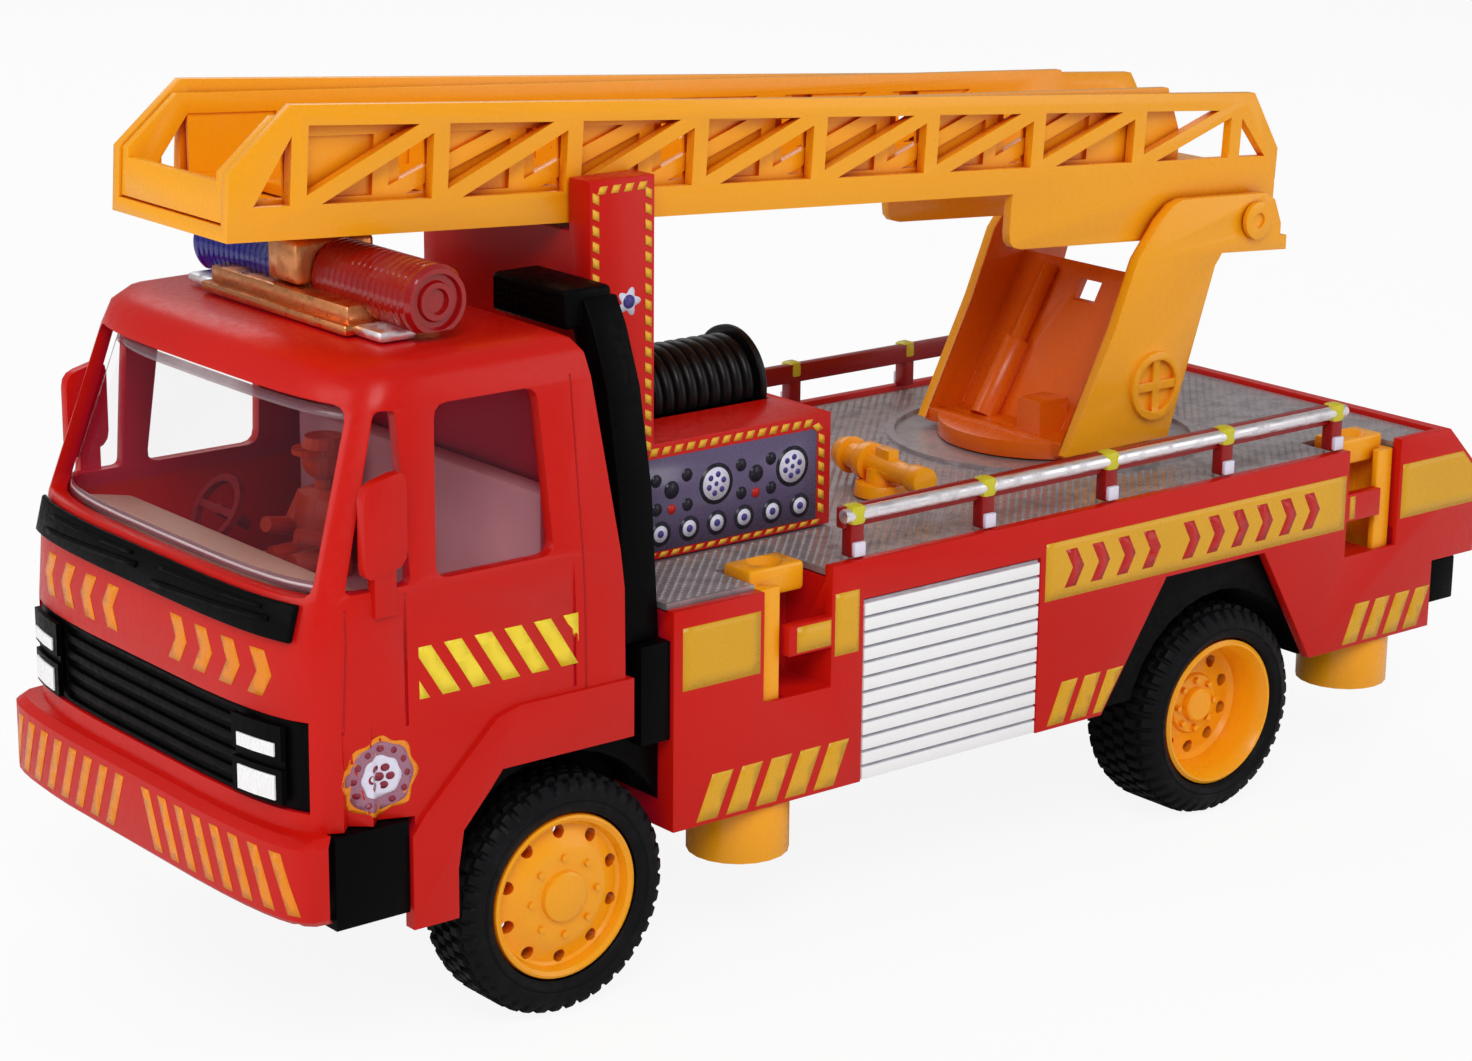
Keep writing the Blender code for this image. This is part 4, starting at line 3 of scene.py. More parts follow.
import json
import logging
import math
from dataclasses import dataclass, field
from enum import Enum
from typing import Callable, Iterable, Sequence

import bmesh
import bpy
from mathutils import Matrix, Vector
from mathutils.bvhtree import BVHTree

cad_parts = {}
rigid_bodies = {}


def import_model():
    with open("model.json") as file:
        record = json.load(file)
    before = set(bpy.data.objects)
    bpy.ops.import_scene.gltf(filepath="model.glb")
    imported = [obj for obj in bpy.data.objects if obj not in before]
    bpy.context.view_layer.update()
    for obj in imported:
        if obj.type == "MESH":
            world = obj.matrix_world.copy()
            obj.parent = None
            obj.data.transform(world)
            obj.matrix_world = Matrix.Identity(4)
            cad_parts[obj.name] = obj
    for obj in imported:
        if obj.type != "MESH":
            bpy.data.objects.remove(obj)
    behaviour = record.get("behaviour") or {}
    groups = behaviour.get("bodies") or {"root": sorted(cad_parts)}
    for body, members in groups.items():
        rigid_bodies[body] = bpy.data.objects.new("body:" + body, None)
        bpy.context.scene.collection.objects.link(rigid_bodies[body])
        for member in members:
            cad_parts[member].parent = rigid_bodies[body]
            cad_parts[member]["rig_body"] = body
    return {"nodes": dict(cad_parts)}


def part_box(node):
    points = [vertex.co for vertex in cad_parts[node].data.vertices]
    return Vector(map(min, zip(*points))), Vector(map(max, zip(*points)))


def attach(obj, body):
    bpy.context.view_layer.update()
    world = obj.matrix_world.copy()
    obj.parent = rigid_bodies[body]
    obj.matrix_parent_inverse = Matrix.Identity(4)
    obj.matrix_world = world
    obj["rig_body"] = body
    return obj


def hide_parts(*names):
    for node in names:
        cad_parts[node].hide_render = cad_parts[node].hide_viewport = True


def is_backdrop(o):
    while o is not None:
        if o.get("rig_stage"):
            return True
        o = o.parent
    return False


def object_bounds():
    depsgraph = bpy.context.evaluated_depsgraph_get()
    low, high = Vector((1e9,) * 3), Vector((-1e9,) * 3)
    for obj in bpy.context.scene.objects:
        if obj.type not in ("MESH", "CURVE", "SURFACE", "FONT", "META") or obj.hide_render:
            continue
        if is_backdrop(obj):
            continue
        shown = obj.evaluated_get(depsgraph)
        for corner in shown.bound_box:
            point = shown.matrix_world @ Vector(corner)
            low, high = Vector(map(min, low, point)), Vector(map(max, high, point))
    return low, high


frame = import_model()
CAD_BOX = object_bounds()
LOG = logging.getLogger("toy_fire_engine")
MM = 0.001
WELD = 2e-6
UNBROKEN = 40.0 * MM
FOIL_LIFT = 0.05 * MM
FOIL_CELL = 2.2 * MM
Point = tuple[float, float, float]
Colour = tuple[float, float, float, float]
Outline = Sequence[tuple[float, float]]


class Side(Enum):
    """The truck's two long sides."""

    LEFT = -1
    RIGHT = 1

    @property
    def label(self) -> str:
        """Gives the side's name as pieces and nodes have it."""
        return self.name.lower()


class Facing(Enum):
    """The way in which a printed foil faces."""

    SIDEWAYS = "y"
    FORWARD = "x"


def srgb(red: float, green: float, blue: float) -> Colour:
    """Turns an 8-bit screen colour into a linear one.

    Args:
        red: Red from 0 to 255.
        green: Green from 0 to 255.
        blue: Blue from 0 to 255.

    Returns:
        The linear colour with an alpha of one.
    """
    parts = []
    for value in (red, green, blue):
        share = value / 255
        parts.append(share / 12.92 if share <= 0.04045 else ((share + 0.055) / 1.055) ** 2.4)
    return (*parts, 1.0)


def tinted(colour: Colour, share: float, lift: float = 0.0) -> Colour:
    """Scales a colour and lifts it, and keeps it within one."""
    return (*(min(c * share + lift, 1.0) for c in colour[:3]), 1.0)


def metres(points: Iterable[tuple[float, float]]) -> Outline:
    """Turns an outline in millimetres into one in metres."""
    return [(u * MM, v * MM) for u, v in points]


class Field:
    """A shader socket that adds Math nodes when it is used in an expression."""

    def __init__(self, graph: "Graph", socket: bpy.types.NodeSocket) -> None:
        """Wraps one output socket of a graph."""
        self.graph = graph
        self.socket = socket

    def _math(self, operation: str, *others: "Field | float") -> "Field":
        """Adds a Math node that takes this value first."""
        return self.graph.add("ShaderNodeMath", {"operation": operation}, dict(enumerate((self, *others))))

    def __add__(self, other: "Field | float") -> "Field":
        """Adds another value."""
        return self._math("ADD", other)

    def __mul__(self, other: "Field | float") -> "Field":
        """Multiplies by another value."""
        return self._math("MULTIPLY", other)

    def __sub__(self, other: "Field | float") -> "Field":
        """Takes another value away."""
        return self._math("SUBTRACT", other)

    def __truediv__(self, other: "Field | float") -> "Field":
        """Divides by another value."""
        return self._math("DIVIDE", other)

    def __abs__(self) -> "Field":
        """Drops the sign."""
        return self._math("ABSOLUTE")

    def sine(self) -> "Field":
        """Takes the sine."""
        return self._math("SINE")

    def repeat(self, period: float) -> "Field":
        """Wraps the value from zero to a period."""
        return self._math("FLOORED_MODULO", period)

    def larger(self, other: "Field | float") -> "Field":
        """Takes the larger of two values."""
        return self._math("MAXIMUM", other)

    def ramp(self, low: float, high: float, start: float = 0.0, end: float = 1.0) -> "Field":
        """Maps a range smoothly onto another.

        Args:
            low: The value that gives start.
            high: The value that gives end.
            start: The result at low.
            end: The result at high.

        Returns:
            The mapped value.
        """
        settings = {"interpolation_type": "SMOOTHSTEP"}
        return self.graph.add("ShaderNodeMapRange", settings, {0: self, 1: low, 2: high, 3: start, 4: end})


class Graph:
    """The node tree of one material."""

    def __init__(self, name: str) -> None:
        """Makes a material with an empty tree and its output.

        Args:
            name: The material's name.
        """
        self.material = bpy.data.materials.new(name)
        self.material.use_nodes = True
        self.tree = self.material.node_tree
        self.tree.nodes.clear()
        self.output = self.tree.nodes.new("ShaderNodeOutputMaterial")

    def add(self, kind: str, settings: dict | None = None, inputs: dict | None = None, out: int | str = 0) -> Field:
        """Adds a node: its settings first, then its sockets' values or links.

        Args:
            kind: The node's type.
            settings: Attributes of the node.
            inputs: Values, or fields to link, by socket name or number.
            out: The output that is returned.

        Returns:
            The chosen output.
        """
        node = self.tree.nodes.new(kind)
        for key, value in (settings or {}).items():
            setattr(node, key, value)
        for key, value in (inputs or {}).items():
            if isinstance(value, Field):
                self.tree.links.new(value.socket, node.inputs[key])
            else:
                node.inputs[key].default_value = value
        return Field(self, node.outputs[out])

    def place(self) -> Field:
        """Gives the place on the piece, in metres in the truck's own frame."""
        return self.add("ShaderNodeTexCoord", out="Object")

    def split(self, vector: Field) -> tuple[Field, Field, Field]:
        """Splits a vector into its three numbers.

        Args:
            vector: The vector.

        Returns:
            Its x, y and z.
        """
        node = self.tree.nodes.new("ShaderNodeSeparateXYZ")
        self.tree.links.new(vector.socket, node.inputs[0])
        return tuple(Field(self, node.outputs[i]) for i in range(3))

    def noise(self, vector: Field, scale: float, detail: float = 3.0, roughness: float = 0.5) -> Field:
        """Adds fractal noise over a vector."""
        inputs = {"Vector": vector, "Scale": scale, "Detail": detail, "Roughness": roughness}
        return self.add("ShaderNodeTexNoise", None, inputs)

    def blend(self, factor: Field | float, first: object, second: object) -> Field:
        """Mixes two colours, each a field or a plain colour."""
        settings = {"data_type": "RGBA"}
        return self.add("ShaderNodeMix", settings, {0: factor, 6: first, 7: second}, out=2)

    def bump(self, height: Field, strength: float, distance: float) -> Field:
        """Turns a height into a bent normal."""
        return self.add("ShaderNodeBump", None, {"Strength": strength, "Distance": distance, "Height": height})

    def finish(self, inputs: dict) -> bpy.types.Material:
        """Closes the tree with a Principled shader.

        Args:
            inputs: Values or fields by socket name.

        Returns:
            The material.
        """
        shader = self.add("ShaderNodeBsdfPrincipled", None, inputs)
        self.tree.links.new(shader.socket, self.output.inputs[0])
        return self.material


@dataclass(frozen=True)
class MouldedPlastic:
    """A shiny moulded plastic with faint flow marks, dust in its roughness, a soft skin and, where a deep colour is
    given, painted shade in its corners and creases.
    """

    name: str
    colour: Colour
    roughness: float = 0.30
    shade_share: float = 0.10
    peel: float = 0.05
    coat: float = 0.25
    shine: float = 0.40
    # deep: the colour of painted shade, laid by occlusion in corners and creases within reach.
    deep: Colour | None = None
    reach: float = 12.0 * MM

    def make(self) -> bpy.types.Material:
        """Builds the material.

        Returns:
            The material.
        """
        graph = Graph(self.name)
        place = graph.place()
        cloud = graph.noise(place, 38.0, 4.0, 0.55)
        flow = graph.noise(place, 210.0, 2.0, 0.4)
        dark = tinted(self.colour, 1 - self.shade_share)
        light = tinted(self.colour, 1 + self.shade_share * 0.6)
        colour = graph.blend(cloud.ramp(0.30, 0.72), dark, light)
        # Painted shade: where occlusion is high, in corners and creases, the colour turns to deep.
        if self.deep:
            crease_shade_mask = graph.add("ShaderNodeAmbientOcclusion", {"samples": 12}, {"Distance": self.reach}, out="AO")
            colour = graph.blend(crease_shade_mask.ramp(0.05, 0.50), self.deep, colour)
        dust = graph.noise(place, 900.0, 5.0, 0.6)
        rough = dust.ramp(0.35, 0.75, self.roughness * 0.80, self.roughness * 1.28)
        skin = graph.noise(place, 1500.0, 2.0, 0.5) * 0.6 + flow * 0.4
        return graph.finish(
            {
                "Base Color": colour,
                "Roughness": rough,
                "Normal": graph.bump(skin, self.peel, 0.0002),
                "Specular IOR Level": self.shine,
                "Coat Weight": self.coat,
                "Coat Roughness": 0.12,
            }
        )


@dataclass(frozen=True)
class AmberPlastic:
    """The ladder's yellow: thin, a little translucent, with deep orange painted shade in its corners and between the
    turret's cheeks.
    """

    name: str
    colour: Colour
    # deep: the colour of painted shade in corners, and between the turret's cheeks.
    deep: Colour
    roughness: float = 0.30
    reach: float = 7.0 * MM
    # open_share: the occlusion above which no painted shade is laid; the next is the half width of painted shade
    # between the turret's cheeks.
    open_share: float = 0.68
    throat: float = 0.0

    def make(self) -> bpy.types.Material:
        """Builds the material.

        Returns:
            The material.
        """
        graph = Graph(self.name)
        place = graph.place()
        crease_shade_mask = graph.add("ShaderNodeAmbientOcclusion", {"samples": 6}, {"Distance": self.reach}, out="AO")
        cloud = graph.noise(place, 38.0, 4.0, 0.55)
        pale = tinted(self.colour, 1.04)
        skin = graph.blend(cloud.ramp(0.30, 0.72), self.colour, pale)
        dust = graph.noise(place, 900.0, 5.0, 0.6)
        # Painted shade: occluded corners turn deep orange.
        colour = graph.blend(crease_shade_mask.ramp(0.06, self.open_share), self.deep, skin)
        # Painted shade across the band between the turret's cheeks, near the middle line.
        if self.throat:
            between = abs(graph.split(place)[1]).ramp(self.throat, self.throat + 0.4 * MM, 0.78, 0.0)
            colour = graph.blend(between, colour, self.deep)
        return graph.finish(
            {
                "Base Color": colour,
                "Roughness": dust.ramp(0.35, 0.75, self.roughness * 0.80, self.roughness * 1.28),
                "Normal": graph.bump(graph.noise(place, 600.0, 2.0, 0.5), 0.03, 0.0001),
                "Specular IOR Level": 0.35,
                "Coat Weight": 0.15,
                "Coat Roughness": 0.12,
            }
        )


@dataclass(frozen=True)
class SlattedPlastic:
    """White slats with grey lines of painted shade in the grooves between them."""

    name: str
    colour: Colour
    # groove: the grey of painted shade in the grooves between the slats.
    groove: Colour
    start: float
    pitch: float

    def make(self) -> bpy.types.Material:
        """Builds the material.

        Returns:
            The material.
        """
        graph = Graph(self.name)
        place = graph.place()
        height = graph.split(place)[2]
        share = (height - self.start).repeat(self.pitch) / self.pitch
        smear = graph.noise(place, 420.0, 3.0, 0.6)
        # Painted shade: a grey line in each groove between the slats, its strength varied by noise.
        line = share.ramp(0.76, 0.84) * smear.ramp(0.2, 0.6, 0.75, 1.0)
        return graph.finish(
            {
                "Base Color": graph.blend(line, self.colour, self.groove),
                "Roughness": smear.ramp(0.3, 0.7, 0.34, 0.46),
                "Normal": graph.bump(smear, 0.05, 0.0002),
                "Coat Weight": 0.15,
            }
        )


@dataclass(frozen=True)
class SeeThroughPlastic:
    """A clear or tinted plastic with ribs of its mould inside."""

    name: str
    colour: Colour
    alpha: float = 0.16
    roughness: float = 0.05
    rib_pitch: float = 0.0
    gloss: float = 1.0

    def make(self) -> bpy.types.Material:
        """Builds the material as a thin shiny skin that lets the view through.

        Returns:
            The material.
        """
        graph = Graph(self.name)
        place = graph.place()
        across = graph.split(place)[1]
        haze = graph.noise(place, 60.0, 3.0, 0.5)
        colour = graph.blend(haze.ramp(0.3, 0.7), self.colour, tinted(self.colour, 0.88))
        veil = haze.ramp(0.3, 0.75, self.alpha * 0.85, min(self.alpha * 1.15, 1.0))
        height = graph.noise(place, 400.0, 2.0, 0.5)
        strength = 0.03
        if self.rib_pitch:
            height = (across * (2 * math.pi / self.rib_pitch)).sine() * 0.5 + 0.5
            strength = 0.2
        return graph.finish(
            {
                "Base Color": colour,
                "Roughness": haze.ramp(0.3, 0.7, self.roughness, self.roughness * 2.0),
                "Alpha": veil,
                "Normal": graph.bump(height, strength, 0.0003),
                "Coat Weight": self.gloss,
                "Coat Roughness": 0.04,
                "IOR": 1.49,
            }
        )


@dataclass(frozen=True)
class BrightPlating:
    """Vacuum plating: a mirror that is a little wavy and worn on its heights."""

    name: str
    colour: Colour
    roughness: float = 0.12

    def make(self) -> bpy.types.Material:
        """Builds the material.

        Returns:
            The material.
        """
        graph = Graph(self.name)
        place = graph.place()
        worn = graph.noise(place, 320.0, 4.0, 0.6)
        dull = tinted(self.colour, 0.72)
        return graph.finish(
            {
                "Base Color": graph.blend(worn.ramp(0.45, 0.75), self.colour, dull),
                "Metallic": 1.0,
                "Roughness": worn.ramp(0.35, 0.75, self.roughness, self.roughness * 2.6),
                "Normal": graph.bump(graph.noise(place, 170.0, 2.0, 0.4), 0.10, 0.0004),
            }
        )


@dataclass(frozen=True)
class TyrePlastic:
    """Black soft plastic, greyed by handling."""

    name: str
    colour: Colour

    def make(self) -> bpy.types.Material:
        """Builds the material.

        Returns:
            The material.
        """
        graph = Graph(self.name)
        place = graph.place()
        grain = graph.noise(place, 700.0, 6.0, 0.65)
        dust = graph.noise(place, 90.0, 4.0, 0.6)
        grey = tinted(self.colour, 2.0, 0.004)
        return graph.finish(
            {
                "Base Color": graph.blend(dust.ramp(0.50, 0.80), self.colour, grey),
                "Roughness": grain.ramp(0.3, 0.7, 0.46, 0.68),
                "Normal": graph.bump(grain, 0.20, 0.0002),
                "Specular IOR Level": 0.12,
            }
        )


@dataclass(frozen=True)
class PrintedFoil:
    """A glossy sticker with the dots of its print."""

    name: str
    colour: Colour
    roughness: float = 0.28

    def make(self) -> bpy.types.Material:
        """Builds the material.

        Returns:
            The material.
        """
        graph = Graph(self.name)
        place = graph.place()
        print_grain = graph.noise(place, 2200.0, 2.0, 0.5)
        fade = graph.noise(place, 45.0, 3.0, 0.5)
        pale = tinted(self.colour, 1.10, 0.01)
        mixed = graph.blend(fade.ramp(0.3, 0.75) * 0.7 + print_grain * 0.3, self.colour, pale)
        return graph.finish(
            {
                "Base Color": mixed,
                "Roughness": print_grain.ramp(0.3, 0.7, self.roughness * 0.85, self.roughness * 1.3),
                "Normal": graph.bump(fade, 0.06, 0.0002),
                "Specular IOR Level": 0.30,
                "Coat Weight": 0.08,
                "Coat Roughness": 0.10,
            }
        )


@dataclass(frozen=True)
class TreadPlate:
    """Silver coated plastic, brushed by handling, for the studded deck."""

    name: str
    colour: Colour

    def make(self) -> bpy.types.Material:
        """Builds the material.

        Returns:
            The material.
        """
        graph = Graph(self.name)
        place = graph.place()
        streak = graph.noise(place, 260.0, 4.0, 0.6)
        dark = tinted(self.colour, 0.62)
        return graph.finish(
            {
                "Base Color": graph.blend(streak.ramp(0.35, 0.70), self.colour, dark),
                "Metallic": 0.55,
                "Roughness": streak.ramp(0.3, 0.7, 0.26, 0.46),
                "Normal": graph.bump(graph.noise(place, 1200.0, 3.0, 0.5), 0.15, 0.0002),
            }
        )


@dataclass
class Paints:
    """Every finish of the truck, made once."""

    made: dict[str, bpy.types.Material] = field(default_factory=dict)

    def mix(self) -> "Paints":
        """Builds all the finishes.

        Returns:
            This set of paints.
        """
        recipes = (
            # The colour after a moulded plastic's numbers, where there is one, is painted shade for its corners and
            # creases; so is an amber plastic's second colour.
            MouldedPlastic("red_plastic", srgb(206, 20, 9), 0.36, 0.04, 0.02, 0.05, 0.20, srgb(204, 14, 50)),
            # A darker copy of the body's red: painted shade for the rail boards and posts.
            MouldedPlastic("red_shade", srgb(152, 12, 14), 0.36, 0.10, 0.03, 0.10, 0.30, srgb(96, 6, 20)),
            MouldedPlastic("door_seam", srgb(178, 14, 10), 0.36, 0.06, 0.02, 0.05, 0.20),
            # The turret's last number is the half width of painted shade between its cheeks.
            AmberPlastic("turret_amber", srgb(252, 168, 14), srgb(216, 62, 4), 0.32, 7.0 * MM, 0.68, 17.35 * MM),
            AmberPlastic("yellow_plastic", srgb(252, 168, 14), srgb(214, 62, 2), 0.32),
            MouldedPlastic("black_plastic", srgb(5, 5, 6), 0.44, 0.20, 0.05, 0.0, 0.05),
            MouldedPlastic("hose_black", srgb(12, 11, 12), 0.36, 0.20, 0.05, 0.03, 0.20),
            MouldedPlastic("lamp_white", srgb(254, 254, 255), 0.25, 0.02, 0.04, 0.30),
            # The seat's corner colour is partly the inside walls' own red and partly painted shade.
            MouldedPlastic(
                "seat_plastic", srgb(196, 130, 140), 0.50, 0.10, 0.06, 0.0, 0.20,
                srgb(196, 26, 44), 16.0 * MM,
            ),
            MouldedPlastic(
                "dash_plastic", srgb(206, 160, 142), 0.50, 0.08, 0.06, 0.0, 0.20,
                srgb(130, 50, 50), 6.0 * MM,
            ),
            MouldedPlastic(
                "driver_plastic", srgb(206, 60, 28), 0.46, 0.15, 0.06, 0.0, 0.20,
                srgb(170, 36, 20), 12.0 * MM,
            ),
            SlattedPlastic("shutter_white", srgb(254, 254, 255), srgb(176, 174, 184), 25.3 * MM, 2.508 * MM),
            SeeThroughPlastic("clear_plastic", srgb(176, 130, 150), 0.025, 0.03, 0.0, 0.20),
            SeeThroughPlastic("glazing_edge", srgb(150, 100, 112), 0.58, 0.12),
            # A painted highlight on the glazing.
            SeeThroughPlastic("glazing_glint", srgb(236, 214, 218), 0.85, 0.16),
            SeeThroughPlastic("blue_lens", srgb(14, 10, 160), 0.92, 0.08, 0.0016, 0.35),
            SeeThroughPlastic("red_lens", srgb(166, 8, 12), 0.92, 0.08, 0.0016, 0.35),
            BrightPlating("chrome", srgb(214, 212, 214), 0.10),
            BrightPlating("rail_silver", srgb(246, 242, 246), 0.30),
            # Chrome tinted orange: a painted orange reflection on the light bar's plating.
            BrightPlating("tray_amber", srgb(226, 150, 96), 0.22),
            MouldedPlastic("wheel_maroon", srgb(120, 12, 18), 0.45, 0.10, 0.03, 0.0, 0.20),
            TyrePlastic("tyre_black", srgb(13, 13, 16)),
            TreadPlate("deck_silver", srgb(186, 180, 184)),
            PrintedFoil("foil_ochre", srgb(222, 164, 22)),
            PrintedFoil("foil_orange", srgb(236, 136, 14)),
            PrintedFoil("foil_yellow", srgb(250, 216, 48)),
            PrintedFoil("foil_dash", srgb(240, 178, 44)),
            PrintedFoil("foil_red", srgb(190, 24, 18)),
            PrintedFoil("foil_plum", srgb(140, 40, 60)),
            PrintedFoil("foil_mauve", srgb(158, 108, 128)),
            PrintedFoil("foil_panel", srgb(96, 84, 116)),
            PrintedFoil("foil_white", srgb(226, 222, 240)),
            PrintedFoil("foil_dark", srgb(26, 22, 40)),
            PrintedFoil("foil_blue", srgb(70, 62, 140)),
            PrintedFoil("clamp_yellow", srgb(206, 196, 40), 0.34),
        )
        for recipe in recipes:
            self.made[recipe.name] = recipe.make()
        return self

    def __getitem__(self, name: str) -> bpy.types.Material:
        """Looks a finish up by its name."""
        return self.made[name]


class Workshop:
    """Makes meshes and puts them on the truck's bodies."""

    def __init__(self, paints: Paints) -> None:
        """Keeps the paints for every piece.

        Args:
            paints: The finishes by name.
        """
        self.paints = paints
        self.trees: dict[str, BVHTree] = {}
        self.moulded: dict[str, bpy.types.Object] = {}

    def piece(
        self,
        name: str,
        mesh: bmesh.types.BMesh,
        paint: str,
        body: str,
        slot: str,
        smooth: float | None = 35.0,
        bevel: float = 0.0,
    ) -> bpy.types.Object:
        """Turns a mesh into a painted piece that rides on a body.

        Args:
            name: The piece's name.
            mesh: Its mesh, in the truck's frame, freed here.
            paint: The name of its finish.
            body: The body that it rides on.
            slot: The record's material slot; not used.
            smooth: The angle in degrees up to which faces shade smooth, or None for flat.
            bevel: The width of a bevel along its edges, in metres.

        Returns:
            The new object.
        """
        bmesh.ops.recalc_face_normals(mesh, faces=mesh.faces)
        data = bpy.data.meshes.new(name)
        mesh.to_mesh(data)
        mesh.free()
        data.materials.append(self.paints[paint])
        made = bpy.data.objects.new(name, data)
        bpy.context.scene.collection.objects.link(made)
        if bevel:
            soften = made.modifiers.new("soften", "BEVEL")
            soften.width = bevel
            soften.segments = 2
            soften.limit_method = "ANGLE"
            soften.angle_limit = math.radians(38)
            soften.use_clamp_overlap = True
            self.bake(made)
        if smooth is not None:
            made.data.shade_smooth()
            made.data.set_sharp_from_angle(angle=math.radians(smooth))
        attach(made, body)
        return made

    @staticmethod
    def bake(target: bpy.types.Object) -> None:
        """Turns an object's modifiers into its mesh.

        Args:
            target: The object.
        """
        depsgraph = bpy.context.evaluated_depsgraph_get()
        baked = bpy.data.meshes.new_from_object(target.evaluated_get(depsgraph))
        target.modifiers.clear()
        target.data = baked

    @staticmethod
    def prism(mesh: bmesh.types.BMesh, outline: Outline, low: float, high: float, facing: Facing) -> None:
        """Adds a flat outline extruded along Y or X.

        Args:
            mesh: The mesh that takes it.
            outline: Corners as (x, z), or (y, z) where it faces forward.
            low: The place of one face along the normal.
            high: The place of the other face.
            facing: The way that the outline faces.
        """
        def corner(u: float, v: float, w: float) -> Point:
            """Places a corner of the outline on the truck."""
            return (u, w, v) if facing is Facing.SIDEWAYS else (w, u, v)

        rows = [[mesh.verts.new(corner(u, v, w)) for u, v in outline] for w in (low, high)]
        mesh.faces.new(rows[0])
        mesh.faces.new(rows[1])
        for i in range(len(outline)):
            j = (i + 1) % len(outline)
            mesh.faces.new((rows[0][i], rows[0][j], rows[1][j], rows[1][i]))

    @staticmethod
    def block(mesh: bmesh.types.BMesh, low: Point, high: Point) -> None:
        """Adds a block between two corners.

        Args:
            mesh: The mesh that takes it.
            low: The corner with the lowest numbers.
            high: The corner with the highest.
        """
        low_corner, high_corner = Vector(low), Vector(high)
        made = bmesh.ops.create_cube(mesh, size=1.0)["verts"]
        size = Matrix.Diagonal((high_corner - low_corner).to_4d())
        place = Matrix.Translation((low_corner + high_corner) / 2)
        bmesh.ops.transform(mesh, matrix=place @ size, verts=made)

    @staticmethod
    def bar(
        mesh: bmesh.types.BMesh,
        start: Point,
        end: Point,
        radius: float,
        end_radius: float | None = None,
        sides: int = 24,
    ) -> None:
        """Adds a round bar or cone between two points.

        Args:
            mesh: The mesh that takes it.
            start: Where its axis starts.
            end: Where its axis ends.
            radius: Its radius at the start.
            end_radius: Its radius at the end, or None where it is the same.
            sides: The number of its flats.
        """
        first, last = Vector(start), Vector(end)
        along = last - first
        made = bmesh.ops.create_cone(
            mesh,
            cap_ends=True,
            segments=sides,
            radius1=radius,
            radius2=radius if end_radius is None else end_radius,
            depth=along.length,
        )["verts"]
        turn = along.to_track_quat("Z", "Y").to_matrix().to_4x4()
        bmesh.ops.transform(mesh, matrix=Matrix.Translation((first + last) / 2) @ turn, verts=made)

    @staticmethod
    def lathe(
        mesh: bmesh.types.BMesh,
        profile: Sequence[tuple[float, float]],
        centre: Point,
        steps: int,
        shape: Callable[[float, int, float], float] | None = None,
    ) -> None:
        """Turns a closed profile of (radius, y) about an axis along Y.

        Args:
            mesh: The mesh that takes it.
            profile: Points as (radius, y); one on the axis closes there.
            centre: A point on the axis.
            steps: The number of steps round.
            shape: Gives each radius from its own value, its place in the profile and the angle.
        """
        rows = []
        for index, (radius, y) in enumerate(profile):
            if radius < 1e-7:
                rows.append([mesh.verts.new((centre[0], centre[1] + y, centre[2]))])
                continue
            row = []
            for k in range(steps):
                angle = 2 * math.pi * k / steps
                reach = shape(radius, index, angle) if shape else radius
                row.append(
                    mesh.verts.new(
                        (centre[0] + reach * math.cos(angle), centre[1] + y, centre[2] + reach * math.sin(angle))
                    )
                )
            rows.append(row)
        pairs = list(zip(rows, rows[1:] + rows[:1]))
        if len(rows[0]) == 1 and len(rows[-1]) == 1:
            pairs = pairs[:-1]
        for first, second in pairs:
            for k in range(steps):
                n = (k + 1) % steps
                loop = [first[k % len(first)], first[n % len(first)], second[n % len(second)], second[k % len(second)]]
                face = list(dict.fromkeys(loop))
                if len(face) > 2:
                    mesh.faces.new(face)

    def surface(self, node: str) -> BVHTree:
        """Gives the surface of a CAD node, for laying foils on it.

        Args:
            node: The CAD node.

        Returns:
            A tree of its faces, or of those of its moulded stand-in.
        """
        if node not in self.trees:
            data = self.moulded.get(node, frame["nodes"][node]).data
            data.calc_loop_triangles()
            corners = [v.co.copy() for v in data.vertices]
            self.trees[node] = BVHTree.FromPolygons(corners, [tuple(t.vertices) for t in data.loop_triangles])
        return self.trees[node]

    def foil(
        self,
        name: str,
        shapes: Iterable[Outline],
        node: str,
        facing: Facing,
        start: float,
        paint: str,
        lift: float = FOIL_LIFT,
        cell: float = FOIL_CELL,
    ) -> bpy.types.Object:
        """Lays flat shapes on a node's surface as a thin printed foil.

        Args:
            name: The piece's name.
            shapes: Outlines as (x, z), or (y, z) where the foil faces forward.
            node: The CAD node under the foil.
            facing: The way that the foil faces.
            start: A place outside the node along that way, from which the foil is pressed on.
            paint: The name of the finish.
            lift: How far the foil's face stands off the node.
            cell: The size of the facets that follow a curved surface.

        Returns:
            The foil.
        """
        mesh = bmesh.new()
        for shape in shapes:
            corners = [
                mesh.verts.new((u, start, v) if facing is Facing.SIDEWAYS else (start, u, v)) for u, v in shape
            ]
            mesh.faces.new(corners)
        axis = 0 if facing is Facing.SIDEWAYS else 1
        for direction in (axis, 2):
            values = [v.co[direction] for v in mesh.verts]
            place = min(values) + cell
            normal = [0.0, 0.0, 0.0]
            normal[direction] = 1.0
            while place < max(values):
                spot = [0.0, 0.0, 0.0]
                spot[direction] = place
                geometry = list(mesh.verts) + list(mesh.edges) + list(mesh.faces)
                bmesh.ops.bisect_plane(mesh, geom=geometry, plane_co=spot, plane_no=normal, dist=1e-7)
                place += cell
        tree = self.surface(node)
        way = -math.copysign(1, start)
        inward = Vector((0, way, 0)) if facing is Facing.SIDEWAYS else Vector((way, 0, 0))
        missed = []
        for vertex in mesh.verts:
            hit = tree.ray_cast(vertex.co, inward)
            if hit[0] is None:
                missed.append(vertex)
            else:
                vertex.co = hit[0] - inward * lift
        bmesh.ops.delete(mesh, geom=missed, context="VERTS")
